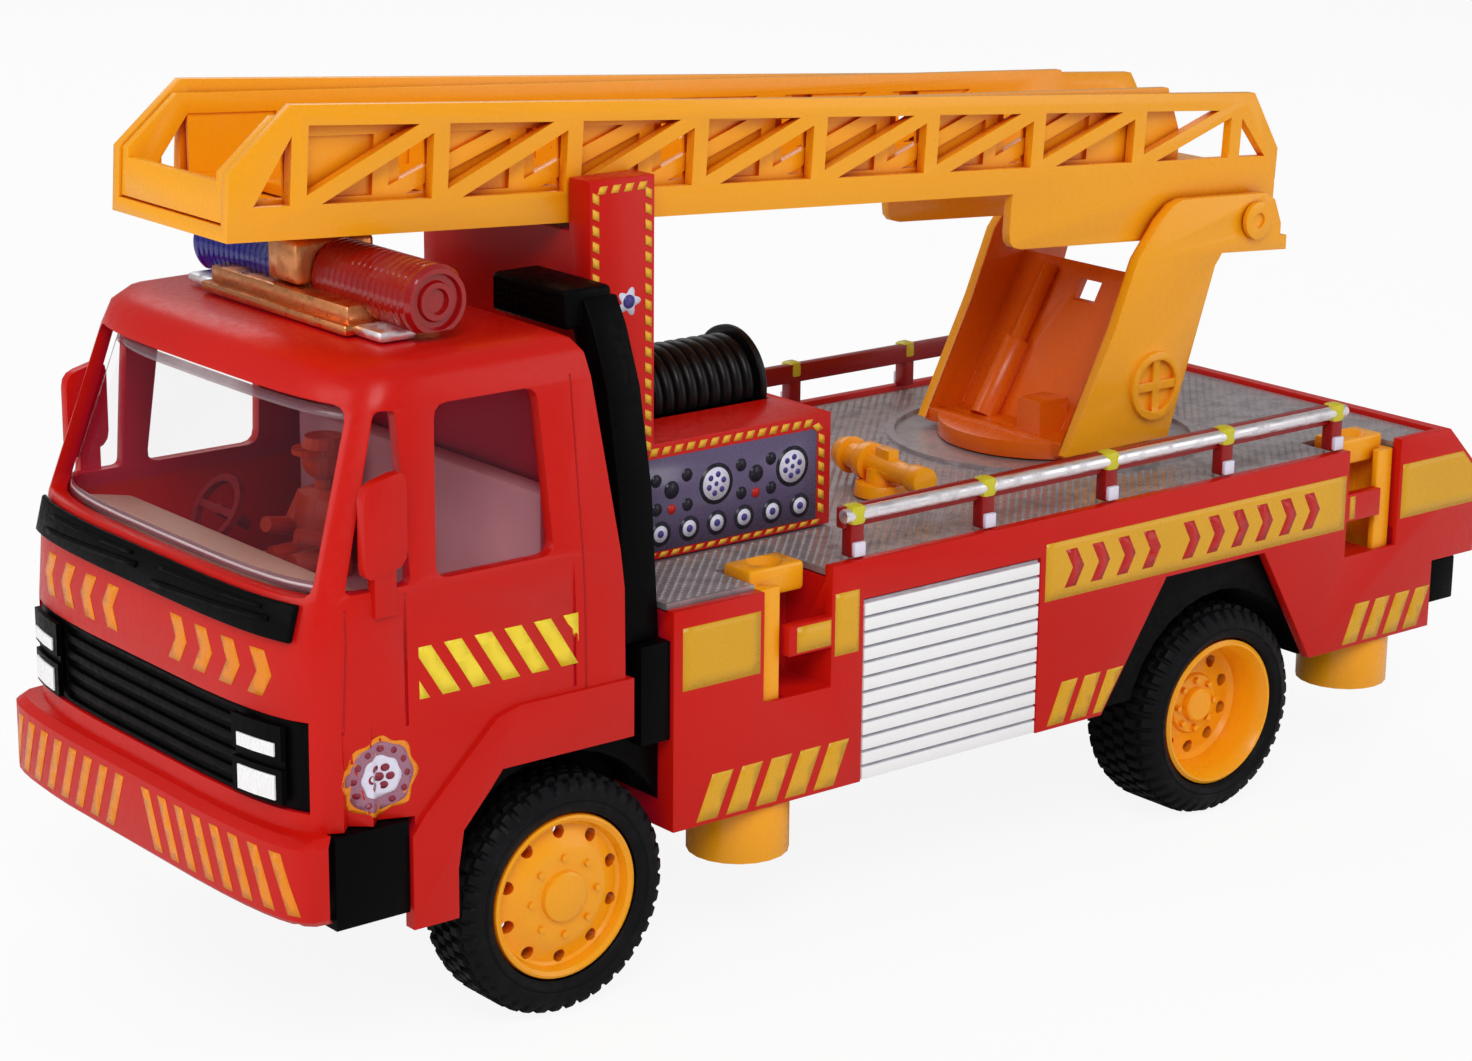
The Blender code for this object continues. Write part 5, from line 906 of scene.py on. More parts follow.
        made = self.piece(name, mesh, paint, "truck", "red_plastic", 40.0)
        turned = bmesh.new()
        turned.from_mesh(made.data)
        for face in turned.faces:
            if face.normal.dot(inward) > 0:
                face.normal_flip()
        turned.to_mesh(made.data)
        turned.free()
        shell = made.modifiers.new("thick", "SOLIDIFY")
        shell.thickness = lift * 0.8
        shell.offset = -1.0
        self.bake(made)
        return made

    def softened(self, node: str, paint: str, width: float, slot: str, smooth: float = 35.0) -> bpy.types.Object:
        """Stands in for a CAD node with a copy whose moulded edges are rounded.

        Args:
            node: The CAD node.
            paint: The name of its finish.
            width: The width of the rounding, in metres.
            slot: The record's material slot.
            smooth: The angle in degrees up to which faces shade smooth.

        Returns:
            The rounded piece.
        """
        mesh = bmesh.new()
        mesh.from_mesh(frame["nodes"][node].data)
        bmesh.ops.remove_doubles(mesh, verts=mesh.verts, dist=WELD)
        bmesh.ops.dissolve_limit(mesh, angle_limit=math.radians(1.0), verts=mesh.verts, edges=mesh.edges)
        body = frame["nodes"][node]["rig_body"]
        made = self.piece(f"{node}_moulded", mesh, paint, body, slot, smooth, width)
        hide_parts(node)
        self.moulded[node] = made
        self.trees.pop(node, None)
        return made

    def repaint(self, node: str, paint: str) -> None:
        """Gives a CAD node that is shown as it is its finish.

        Args:
            node: The CAD node.
            paint: The name of its finish.
        """
        data = frame["nodes"][node]
        data.data.materials.clear()
        data.data.materials.append(self.paints[paint])


@dataclass
class Wheels:
    """Two axle sets with treaded tyres and moulded rims."""

    shop: Workshop
    axle_z: float = 19.0 * MM
    tyre_radius: float = 19.0 * MM
    rim_radius: float = 13.1 * MM
    tyre_face: float = 43.8 * MM
    rim_face: float = 43.4 * MM
    rim_wall: float = 1.2 * MM
    lugs: int = 44
    vents: int = 10
    studs: int = 8
    groove: float = 0.75 * MM

    def build(self) -> None:
        """Builds both ends."""
        ends = (("front", -79.7 * MM, 12.6 * MM, False), ("rear", 63.1 * MM, 16.6 * MM, True))
        for end, station, width, dished in ends:
            self.shop.repaint(f"{end}_axle", "chrome")
            for side in Side:
                label = f"{end}_{side.label}"
                self.tyre(label, end, station, width, side)
                self.rim(label, end, station, width, side, dished)

    def tyre(self, label: str, end: str, station: float, width: float, side: Side) -> None:
        """Builds one tyre with rows of tread blocks and shoulder lugs.

        Args:
            label: The wheel's place in words.
            end: The truck's end.
            station: The axle's place along the truck.
            width: The tyre's width.
            side: The truck's side.
        """
        bead = self.rim_radius + 0.3 * MM
        radius, face = self.tyre_radius, self.tyre_face
        back = face - width
        wall = width / 6
        tread_low, tread_high = back + wall * 1.1, face - wall * 1.1
        rows = [
            (bead, face - wall / 3, 0), (bead + 0.5 * MM, face - wall / 9, 0), (bead + 1.3 * MM, face, 0),
            (bead + 1.7 * MM, face - 0.25 * MM, 0), (bead + 2.1 * MM, face - 0.02 * MM, 0),
            (radius - wall * 1.0, face - wall * 0.06, 0), (radius - wall * 0.55, face - wall * 0.25, 1),
            (radius - wall * 0.2, face - wall * 0.62, 1),
        ]
        bands = 4
        for k in range(bands):
            start = tread_high - (tread_high - tread_low) * k / bands
            end_y = tread_high - (tread_high - tread_low) * (k + 1) / bands
            rows += [
                (radius - self.groove, start, 0), (radius, start - 0.12 * MM, 2 + k % 2),
                (radius, end_y + 0.30 * MM, 2 + k % 2), (radius - self.groove, end_y + 0.18 * MM, 0),
            ]
        rows += [
            (radius - wall * 0.2, back + wall * 0.62, 1), (radius - wall * 0.55, back + wall * 0.25, 1),
            (radius - wall * 1.0, back + wall * 0.06, 0), (bead + 1.3 * MM, back, 0), (bead, back + wall / 3, 0),
        ]

        def lugged(reach: float, index: int, angle: float) -> float:
            """Lowers the grooves between the blocks of a row.

            Args:
                reach: The radius in the profile.
                index: The point's place in the profile.
                angle: The angle round the axle.

            Returns:
                The radius with the grooves cut in.
            """
            kind = rows[index][2]
            if not kind:
                return reach
            shift = {1: 0.25, 2: 0.0, 3: 0.5}[kind]
            phase = (angle / (2 * math.pi) * self.lugs + shift) % 1.0
            return reach - self.groove * (0.8 if kind == 1 else 1.0) if phase < 0.27 else reach

        mesh = bmesh.new()
        profile = [(r, y * side.value) for r, y, _ in rows]
        self.shop.lathe(mesh, profile, (station, 0.0, self.axle_z), self.lugs * 8, lugged)
        made = self.shop.piece(f"tyre_{label}_tread", mesh, "tyre_black", f"{end}_axle_set", "tyre_black", 28.0)
        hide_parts(f"tyre_{label}")

    def rim(self, label: str, end: str, station: float, width: float, side: Side, dished: bool) -> None:
        """Builds one rim: a domed disc with vents in front, a deep dish behind.

        Args:
            label: The wheel's place in words.
            end: The truck's end.
            station: The axle's place along the truck.
            width: The tyre's width.
            side: The truck's side.
            dished: Whether the disc lies deep in the rim.
        """
        out, big = self.rim_face, self.rim_radius
        back = self.tyre_face - width * 0.9
        if dished:
            disc = out - 7.0 * MM
            hub = (
                (0, 2.3), (2.6, 2.3), (3.0, 2.0), (3.2, 0.9), (5.2, 0.7),
                (5.6, 0.1), (8.4, -0.5), (9.6, -0.3), (10.4, 0.5),
            )
            lip = ((11.0, -2.6), (11.3, -1.6), (11.9, -0.5), (12.2, -0.05), (12.6, 0))
            rows = [(r * MM, disc + y * MM) for r, y in hub] + [(r * MM, out + y * MM) for r, y in lip]
            rows += [
                (big, out - 0.4 * MM), (big, back), (big - self.rim_wall, back),
                (big - 1.4 * MM, disc - 2.2 * MM), (4.6 * MM, disc - 2.2 * MM), (0, disc - 2.2 * MM),
            ]
            vent_low, vent_high = disc - 4.0 * MM, disc + 3.0 * MM
        else:
            disc = out - 2.2 * MM
            dome = ((0, 0.1), (3.3, 0.1), (3.9, -0.2), (4.1, -0.9), (5.0, -1.0), (6.6, -0.8), (8.1, -1.2))
            well = ((9.4, 0.2), (10.9, -0.1), (11.4, 0.3))
            lip = ((11.9, -0.5), (12.5, -0.1), (12.9, -0.25))
            rows = [(r * MM, out + y * MM) for r, y in dome] + [(r * MM, disc + y * MM) for r, y in well]
            rows += [(r * MM, out + y * MM) for r, y in lip]
            rows += [
                (big, out - 0.6 * MM), (big, back), (big - self.rim_wall, back),
                (big - 1.3 * MM, disc - 2.2 * MM), (5.0 * MM, disc - 2.0 * MM), (0, disc - 2.0 * MM),
            ]
            vent_low, vent_high = disc - 4.0 * MM, out + 3.0 * MM
        mesh = bmesh.new()
        self.shop.lathe(mesh, [(r, y * side.value) for r, y in rows], (station, 0.0, self.axle_z), 72)
        cutter = bmesh.new()
        vent_at, vent_size = (8.3 * MM, 1.15 * MM) if dished else (10.1 * MM, 1.05 * MM)
        for k in range(self.vents):
            angle = 2 * math.pi * (k + 0.5) / self.vents
            x, z = station + vent_at * math.cos(angle), self.axle_z + vent_at * math.sin(angle)
            self.shop.bar(cutter, (x, vent_low * side.value, z), (x, vent_high * side.value, z), vent_size, sides=20)
        paint, body = "yellow_plastic", f"{end}_axle_set"
        made = self.shop.piece(f"rim_{label}_moulded", mesh, paint, body, paint, 30.0)
        self.drill(made, cutter)
        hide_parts(f"rim_{label}")
        nuts = bmesh.new()
        ring, height = (4.4 * MM, disc + 1.5 * MM) if dished else (6.2 * MM, out - 0.35 * MM)
        foot = disc + 0.3 * MM if dished else out - 1.4 * MM
        for k in range(self.studs):
            angle = 2 * math.pi * k / self.studs
            x, z = station + ring * math.cos(angle), self.axle_z + ring * math.sin(angle)
            self.shop.bar(nuts, (x, foot * side.value, z), (x, height * side.value, z), 0.62 * MM, 0.5 * MM, 12)
        self.shop.piece(f"rim_{label}_studs", nuts, paint, body, paint, 40.0)

    def drill(self, target: bpy.types.Object, cutter: bmesh.types.BMesh) -> None:
        """Cuts holes in a piece.

        Args:
            target: The piece.
            cutter: The closed shapes that are cut out, freed here.
        """
        data = bpy.data.meshes.new("drill")
        bmesh.ops.recalc_face_normals(cutter, faces=cutter.faces)
        cutter.to_mesh(data)
        cutter.free()
        tool = bpy.data.objects.new("drill", data)
        bpy.context.scene.collection.objects.link(tool)
        step = target.modifiers.new("drill", "BOOLEAN")
        step.operation = "DIFFERENCE"
        step.solver = "EXACT"
        step.object = tool
        self.shop.bake(target)
        bpy.data.objects.remove(tool)
        target.data.shade_smooth()
        target.data.set_sharp_from_angle(angle=math.radians(30))


@dataclass
class Cab:
    """The cab with its glazing, lamps, wipers, trim and inside."""

    shop: Workshop
    lamp_inner: float = 27.7 * MM
    lamp_outer: float = 35.5 * MM
    lamp_rows: tuple[tuple[float, float], ...] = ((42.6 * MM, 46.3 * MM), (49.2 * MM, 51.2 * MM))
    lamp_proud: float = 0.25 * MM
    front: float = -200.0 * MM
    outside: float = 60.0 * MM

    def build(self) -> None:
        """Dresses the cab."""
        self.shop.softened("cab_shell", "red_plastic", 0.35 * MM, "red_plastic", 40.0)
        self.shop.repaint("cab_glazing", "clear_plastic")
        self.shop.softened("grille", "black_plastic", 0.12 * MM, "black_plastic")
        self.shop.softened("windscreen_trim", "black_plastic", 0.25 * MM, "black_plastic")
        self.shop.softened("cab_interior", "seat_plastic", 0.4 * MM, "seat_plastic")
        self.shop.softened("dashboard", "dash_plastic", 0.3 * MM, "dash_plastic")
        self.shop.repaint("steering_wheel", "wheel_maroon")
        self.shop.repaint("driver_figure", "driver_plastic")
        for side in Side:
            self.lamps(side)
            self.door_seams(side)
        self.wipers()
        self.band_marks()
        self.glazing_edges()

    def lamps(self, side: Side) -> None:
        """Builds a pair of lamps, one over the other, on their black block.

        Args:
            side: The truck's side.
        """
        name = side.label
        self.shop.repaint(f"headlamps_{name}", "black_plastic")
        tree = self.shop.surface(f"headlamps_{name}")
        glass, ribs = bmesh.new(), bmesh.new()
        for low, high in self.lamp_rows:
            edges = (self.lamp_inner, (self.lamp_inner + self.lamp_outer) / 2, self.lamp_outer)
            for first, second in zip(edges, edges[1:]):
                faces = []
                for y in (first, second):
                    hit = tree.ray_cast(Vector((self.front, y * side.value, (low + high) / 2)), Vector((1, 0, 0)))[0]
                    faces.append(hit.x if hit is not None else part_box(f"headlamps_{name}")[0].x)
                near, far = first * side.value, second * side.value
                shape = [(faces[0], near, low), (faces[1], far, low), (faces[1], far, high), (faces[0], near, high)]
                rows = []
                for depth in (-self.lamp_proud, 0.30 * MM):
                    rows.append([glass.verts.new((x + depth, y, z)) for x, y, z in shape])
                glass.faces.new(rows[0])
                glass.faces.new(rows[1])
                for k in range(4):
                    glass.faces.new((rows[0][k], rows[0][(k + 1) % 4], rows[1][(k + 1) % 4], rows[1][k]))
                for k in range(1, 6):
                    y = (first + (second - first) * k / 6) * side.value
                    x = faces[0] + (faces[1] - faces[0]) * k / 6 - self.lamp_proud
                    self.shop.bar(ribs, (x, y, low + 0.3 * MM), (x, y, high - 0.3 * MM), 0.16 * MM, sides=8)
        self.shop.piece(f"headlamp_{name}_glass", glass, "lamp_white", "truck", "lamp_white", 20.0)
        self.shop.piece(f"headlamp_{name}_ribs", ribs, "lamp_white", "truck", "lamp_white", 60.0)

    def wipers(self) -> None:
        """Adds two wiper arms moulded on the black band under the windscreen."""
        for number, (start, end) in enumerate(((-33.0, -3.0), (2.0, 32.0))):
            shapes = []
            for low, high, wide in ((0.0, 1.0, 0.9), (0.06, 0.94, 0.55)):
                first, last = start + (end - start) * low, start + (end - start) * high
                foot = 68.6 if wide > 0.6 else 70.2
                rise = 1.5 if wide > 0.6 else 0.3
                drop = foot - rise
                shapes.append(metres([(first, foot), (last, drop), (last, drop + wide), (first, foot + wide)]))
            self.front_foil(f"wiper_{number + 1}", shapes, "windscreen_trim", "black_plastic", 0.30 * MM, 3.0 * MM)

    def band_marks(self) -> None:
        """Lays two plain groups of orange marks on the band over the grille."""
        for side in Side:
            shapes = []
            for k in range(4):
                low = 7.6 + 7.0 * k
                arrow = ((0, 57.2), (3.2, 57.2), (5.0, 60.6), (3.2, 64.0), (0, 64.0), (1.8, 60.6))
                shapes.append(metres((side.value * (low + y), z) for y, z in arrow))
            self.front_foil(f"band_marks_{side.label}", shapes, "cab_shell", "foil_orange", cell=1.5 * MM)

    def glazing_edges(self) -> None:
        """Shows the thick edges of the clear moulding round the windscreen, and a painted highlight along its foot."""
        low, high = 72.4, 97.4
        screen = [(-38.0, low), (38.0, low), (35.0, high), (-35.0, high)]
        self.front_foil("screen_edge", self.frame_of(screen, 1.5), "cab_glazing", "glazing_edge", cell=2.0 * MM)
        # A thin pale strip along the foot of the windscreen: a painted highlight.
        glint = [metres([(-37.4, 73.0), (37.4, 73.0), (37.4, 73.4), (-37.4, 73.4)])]
        self.front_foil("screen_glint", glint, "cab_glazing", "glazing_glint", 0.12 * MM, 2.0 * MM)

    def front_foil(
        self,
        name: str,
        shapes: Iterable[Outline],
        node: str,
        paint: str,
        lift: float = FOIL_LIFT,
        cell: float = FOIL_CELL,
    ) -> None:
        """Lays a foil on a face that looks forward.

        Args:
            name: The piece's name.
            shapes: Outlines as (y, z).
            node: The CAD node under it.
            paint: The name of its finish.
            lift: How far it stands off the node.
            cell: The size of its facets.
        """
        self.shop.foil(name, shapes, node, Facing.FORWARD, self.front, paint, lift, cell)

    @staticmethod
    def frame_of(corners_mm: Sequence[tuple[float, float]], wide: float) -> list[Outline]:
        """Gives four strips along the inside of a four-sided opening.

        Args:
            corners_mm: The opening's corners in order, in millimetres.
            wide: The strips' width.

        Returns:
            The strips, in metres.
        """
        middle = sum((Vector(c) for c in corners_mm), Vector((0.0, 0.0))) / 4
        inner = []
        for x, y in corners_mm:
            inward = (math.copysign(wide, middle.x - x), math.copysign(wide, middle.y - y))
            inner.append(Vector((x, y)) + Vector(inward))
        strips = []
        for k in range(4):
            n = (k + 1) % 4
            strips.append(metres((corners_mm[k], corners_mm[n], tuple(inner[n]), tuple(inner[k]))))
        return strips

    def door_seams(self, side: Side) -> None:
        """Draws the thin dark seams round a door.

        Args:
            side: The truck's side.
        """
        seams = [
            [(-118.6, 53.0), (-118.3, 53.0), (-117.1, 71.0), (-117.4, 71.0)],
            [(-108.0, 54.0), (-107.7, 54.0), (-107.3, 72.0), (-107.6, 72.0)],
            [(-76.0, 50.0), (-75.7, 50.0), (-75.7, 99.0), (-76.0, 99.0)],
        ]
        outlines = [metres(seam) for seam in seams]
        start = self.outside * side.value
        self.shop.foil(
            f"door_seams_{side.label}", outlines, "cab_shell", Facing.SIDEWAYS, start, "door_seam", 0.04 * MM
        )


@dataclass
class LightBar:
    """The roof bar: plated base and centre, tinted orange as a painted reflection, and ribbed lenses with stepped
    rings at their ends.
    """

    shop: Workshop
    axis_x: float = -92.8 * MM
    axis_z: float = 110.3 * MM
    radius: float = 5.5 * MM
    inner: float = 4.7 * MM
    outer: float = 30.4 * MM

    def build(self) -> None:
        """Dresses the bar."""
        self.tray()
        # The centre's plating is tinted orange as a painted reflection.
        self.shop.softened("light_bar_centre", "tray_amber", 0.4 * MM, "chrome")
        for side, name, paint in ((Side.LEFT, "beacon_red", "red_lens"), (Side.RIGHT, "beacon_blue", "blue_lens")):
            self.lens(side, name, paint)

    def tray(self) -> None:
        """Builds the stepped tray under the lenses and the pale feet at its ends."""
        low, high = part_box("light_bar_base")
        tray, feet = bmesh.new(), bmesh.new()
        self.shop.block(tray, (low.x + 1.0 * MM, -20.6 * MM, low.z), (high.x - 1.0 * MM, 20.6 * MM, low.z + 1.7 * MM))
        self.shop.block(tray, (low.x + 2.2 * MM, -19.4 * MM, low.z + 1.5 * MM), (high.x - 2.2 * MM, 19.4 * MM, high.z))
        for side in Side:
            near, far = sorted((side.value * 20.4 * MM, side.value * 27.4 * MM))
            self.shop.block(feet, (low.x + 2.6 * MM, near, low.z), (low.x + 9.0 * MM, far, low.z + 1.7 * MM))
        # The tray's plating is tinted orange as a painted reflection.
        made = self.shop.piece("light_bar_tray", tray, "tray_amber", "truck", "chrome", 40.0, 0.5 * MM)
        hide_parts("light_bar_base")
        self.shop.piece("light_bar_feet", feet, "rail_silver", "truck", "chrome", 40.0, 0.6 * MM)

    def lens(self, side: Side, name: str, paint: str) -> None:
        """Builds one ribbed lens with the stepped rings of its end.

        Args:
            side: The truck's side.
            name: The CAD node that it stands for.
            paint: The finish of the lens.
        """
        start, end, big = self.inner, self.outer, self.radius
        rows = [(0.0, start), (big - 0.4 * MM, start), (big, start + 0.3 * MM)]
        ribs = 15
        pitch = (end - start - 2.6 * MM) / ribs
        for k in range(ribs):
            low = start + 0.6 * MM + pitch * k
            valley = big - 0.2 * MM
            rows += [(big, low), (big, low + pitch * 0.55), (valley, low + pitch * 0.7), (valley, low + pitch * 0.9)]
        rings = ((0, 1.9), (0, 0.8), (0.6, 0), (1.3, 0), (1.6, 0.8), (2.4, 0.8), (2.7, 0.2), (3.5, 0.2), (3.8, 0.9))
        rows += [(big - inset * MM, end - depth * MM) for inset, depth in rings] + [(0.0, end - 0.9 * MM)]
        mesh = bmesh.new()
        self.shop.lathe(mesh, [(r, y * side.value) for r, y in rows], (self.axis_x, 0.0, self.axis_z), 56)
        floor = self.axis_z - 4.3 * MM
        for vertex in mesh.verts:
            vertex.co.z = max(vertex.co.z, floor)
        made = self.shop.piece(f"{name}_lens", mesh, paint, "truck", paint, 25.0)
        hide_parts(name)


@dataclass
class AirIntake:
    """The black intake with the mesh of its mouth."""

    shop: Workshop
    mouth: tuple[float, float, float, float] = (-28.0 * MM, -12.6 * MM, 103.8 * MM, 108.4 * MM)

    def build(self) -> None:
        """Rounds the pipe and adds the mouth's mesh."""
        self.shop.softened("air_intake", "black_plastic", 0.4 * MM, "black_plastic")
        low_y, high_y, low_z, high_z = self.mouth
        box_low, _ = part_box("air_intake")
        face = box_low.x
        mesh = bmesh.new()
        columns, rows = 14, 4
        for k in range(columns):
            y = low_y + (high_y - low_y) * k / (columns - 1)
            self.shop.block(mesh, (face - 0.15 * MM, y - 0.18 * MM, low_z), (face + 0.4 * MM, y + 0.18 * MM, high_z))
        for k in range(rows + 1):
            z = low_z + (high_z - low_z) * k / rows
            self.shop.block(mesh, (face - 0.25 * MM, low_y, z - 0.18 * MM), (face + 0.4 * MM, high_y, z + 0.18 * MM))
        self.shop.piece("air_intake_mesh", mesh, "black_plastic", "truck", "black_plastic", None)


@dataclass
class Rails:
    """Red boards on red posts, darkened as painted shade, with a silver tube along the outside, yellow clamps and
    small white blocks of painted highlight at the posts' feet.
    """

    shop: Workshop
    front: float = -22.0 * MM
    pitch: float = 28.2 * MM
    posts: int = 5
    y: float = 41.6 * MM
    z: float = 69.2 * MM
    foot_z: float = 62.3 * MM

    def build(self) -> None:
        """Builds both rails."""
        end = self.front + self.pitch * (self.posts - 1)
        for side in Side:
            s = side.value
            name = side.label
            board = bmesh.new()
            low, high = sorted((s * 39.9 * MM, s * 41.7 * MM))
            self.shop.block(board, (self.front - 2.4 * MM, low, 67.0 * MM), (end + 2.4 * MM, high, 70.5 * MM))
            # The board takes the darker red of painted shade.
            made = self.shop.piece(f"rail_{name}_board", board, "red_shade", "truck", "red_plastic", 40.0, 0.35 * MM)
            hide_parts(f"side_rail_{name}")
            tube = bmesh.new()
            y = s * (self.y + 0.3 * MM)
            self.shop.bar(tube, (self.front - 2.6 * MM, y, self.z), (end + 2.6 * MM, y, self.z), 1.15 * MM, sides=28)
            self.shop.piece(f"rail_{name}_tube", tube, "rail_silver", "truck", "red_plastic", 40.0, 0.3 * MM)
            posts, clamps, feet = bmesh.new(), bmesh.new(), bmesh.new()
            for k in range(self.posts):
                x = self.front + self.pitch * k
                y = s * self.y
                low, high = sorted((s * 40.2 * MM, s * 42.6 * MM))
                self.shop.block(posts, (x - 1.4 * MM, low, self.foot_z), (x + 1.4 * MM, high, 68.0 * MM))
                low, high = sorted((s * 39.8 * MM, s * 43.1 * MM))
                self.shop.block(clamps, (x - 1.6 * MM, low, 67.5 * MM), (x + 1.6 * MM, high, 70.9 * MM))
                # A small white block at each post's foot: a painted highlight.
                low, high = sorted((s * 42.4 * MM, s * 43.3 * MM))
                foot, top = self.foot_z + 0.2 * MM, self.foot_z + 2.6 * MM
                self.shop.block(feet, (x - 1.2 * MM, low, foot), (x + 1.2 * MM, high, top))
            # The posts take the darker red of painted shade.
            self.shop.piece(f"rail_{name}_posts", posts, "red_shade", "truck", "red_plastic", 40.0, 0.3 * MM)
            self.shop.piece(f"rail_{name}_clamps", clamps, "clamp_yellow", "truck", "red_plastic", 40.0, 0.9 * MM)
            # The white blocks at the feet are painted highlights.
            self.shop.piece(f"rail_{name}_feet", feet, "foil_white", "truck", "red_plastic", 40.0, 0.25 * MM)


@dataclass
class HoseReel:
    """The wound hose between its flanges."""

    shop: Workshop
    start: float = -46.8 * MM
    length: float = 33.6 * MM
    z: float = 82.0 * MM
    drum: float = 7.0 * MM
    hose: float = 1.15 * MM
    flange: float = 9.3 * MM

    def build(self) -> None:
        """Builds the reel, turned along the truck."""
        turns = 13
        wound = self.length - 2.6 * MM
        pitch = wound / turns
        eased = self.flange - 0.3 * MM
        rows = [(0.0, 0.0), (eased, 0.0), (self.flange, 0.3 * MM), (self.flange, 1.0 * MM), (eased, 1.3 * MM)]
        for k in range(turns):
            centre = 1.3 * MM + pitch * (k + 0.5)
            for angle in range(-80, 81, 20):
                radians = math.radians(angle)
                rows.append((self.drum + self.hose * math.cos(radians), centre + self.hose * math.sin(radians)))
        rows += [
            (eased, self.length - 1.3 * MM), (self.flange, self.length - 1.0 * MM),
            (self.flange, self.length - 0.3 * MM), (eased, self.length),
            (self.flange - 1.6 * MM, self.length), (self.flange - 1.9 * MM, self.length - 0.5 * MM),
            (3.0 * MM, self.length - 0.5 * MM), (2.7 * MM, self.length), (0.0, self.length),
        ]
        mesh = bmesh.new()
        self.shop.lathe(mesh, rows, (0.0, 0.0, 0.0), 72)
        turn = Matrix.Rotation(-math.pi / 2, 4, "Z")
        bmesh.ops.transform(mesh, matrix=Matrix.Translation((self.start, 0.0, self.z)) @ turn, verts=mesh.verts)
        made = self.shop.piece("hose_reel_wound", mesh, "hose_black", "truck", "black_plastic", 32.0)
        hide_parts("hose_reel")


@dataclass
class Deck:
    """The tread plate with its rows of small studs."""

    shop: Workshop
    top: float = 61.3 * MM
    pitch: float = 1.9 * MM
    stud: float = 0.52 * MM
    rise: float = 0.28 * MM
    ring_x: float = 59.5 * MM
    ring_radius: float = 29.4 * MM

    def build(self) -> None:
        """Paints the plate and adds the studs."""
        self.shop.repaint("deck", "deck_silver")
        mesh = bmesh.new()
        low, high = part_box("deck")
        x, row = low.x + 1.2 * MM, 0
        while x < high.x - 1.0 * MM:
            y = low.y + 1.0 * MM + (self.pitch / 2 if row % 2 else 0.0)
            while y < high.y - 1.0 * MM:
                if self.clear(x, y):
                    self.pyramid(mesh, x, y)
                y += self.pitch
            x += self.pitch / 2
            row += 1
        self.shop.piece("deck_studs", mesh, "deck_silver", "truck", "deck_silver", None)

    def clear(self, x: float, y: float) -> bool:
        """Tells whether a stud may stand at a place.

        Args:
            x: The place along the truck.
            y: The place across it.

        Returns:
            Whether the place is bare deck.
        """
        if x < -10.0 * MM and abs(y) < 23.6 * MM:
            return False
        if math.hypot(x - self.ring_x, y) < self.ring_radius:
            return False
        in_notch = -43.2 * MM < x < -27.4 * MM or 92.0 * MM < x < 107.8 * MM
        if in_notch and abs(y) > 31.6 * MM:
            return False
        return math.hypot(x - 8.3 * MM, y + 13.8 * MM) > 5.4 * MM

    def pyramid(self, mesh: bmesh.types.BMesh, x: float, y: float) -> None:
        """Adds one stud, longer along the truck.

        Args:
            mesh: The mesh that takes it.
            x: Its place along the truck.
            y: Its place across the truck.
        """
        long, short, top = self.stud * 1.25, self.stud * 0.8, self.top + self.rise
        corners = ((-long, 0), (0, -short), (long, 0), (0, short))
        foot = [mesh.verts.new((x + dx, y + dy, self.top - 0.05 * MM)) for dx, dy in corners]
        peak = mesh.verts.new((x, y, top))
        mesh.faces.new(foot)
        for k in range(4):
            mesh.faces.new((foot[k], foot[(k + 1) % 4], peak))


@dataclass
class Ladder:
    """The turret and the telescoping ladder."""

    shop: Workshop
    tilt_deg: float = 3.6
    floor_x: float = -100.0 * MM
    floor_height: float = 121.1 * MM
    nose: float = -116.4 * MM
    tail: float = 70.0 * MM
    first_slot: float = -112.7 * MM
    bay: float = 24.51 * MM
    slot: float = 4.6 * MM
    bays: int = 8

    def build(self) -> None:
        """Rounds the mouldings."""
        slot = "yellow_plastic"
        parts = (
            ("turret", "turret_amber", 0.45 * MM), ("ladder_base", slot, 0.35 * MM),
            ("ladder_fly", slot, 0.30 * MM), ("ladder_pin", slot, 0.3 * MM),
        )
        for node, paint, width in parts:
            self.shop.softened(node, paint, width, slot, 38.0)
        for side in Side:
            self.web(side)

    def floor_line(self, x: float) -> float:
        """Gives the height of the fly's underside at a place along the truck."""
        return self.floor_height - math.tan(math.radians(self.tilt_deg)) * (x - self.floor_x)

    def web(self, side: Side) -> None:
        """Closes the fly's lattice with a thin recessed web that has a slot in each bay.

        Args:
            side: The truck's side.
        """
        foot, head = 2.4 * MM, 12.7 * MM
        slots = [self.first_slot + self.bay * k for k in range(self.bays)]
        edges = [self.nose] + [edge for x in slots for edge in (x, x + self.slot)] + [self.tail]
        mesh = bmesh.new()
        low, high = sorted((side.value * 13.1 * MM, side.value * 13.6 * MM))

        def strip(first: float, last: float, bottom: float, top: float) -> None:
            """Adds a strip of the web between two places and two heights over the underside.

            Args:
                first: Where it starts along the truck.
                last: Where it ends.
                bottom: How far its lower edge is over the underside.
                top: How far its upper edge is.
            """
            base, tip = self.floor_line(first), self.floor_line(last)
            shape = [(first, base + bottom), (last, tip + bottom), (last, tip + top), (first, base + top)]
            self.shop.prism(mesh, shape, low, high, Facing.SIDEWAYS)

        for first, last in zip(edges[2::2], edges[3::2]):
            strip(first, last, foot, head)
        nose = [
            (self.nose, self.floor_line(self.nose) + foot), (edges[1], self.floor_line(edges[1]) + foot),
            (edges[1], self.floor_line(edges[1]) + 11.0 * MM), (self.nose, self.floor_line(self.nose) + 8.3 * MM),
        ]
        self.shop.prism(mesh, nose, low, high, Facing.SIDEWAYS)
        self.shop.piece(f"fly_web_{side.label}", mesh, "yellow_plastic", "fly", "yellow_plastic", None)


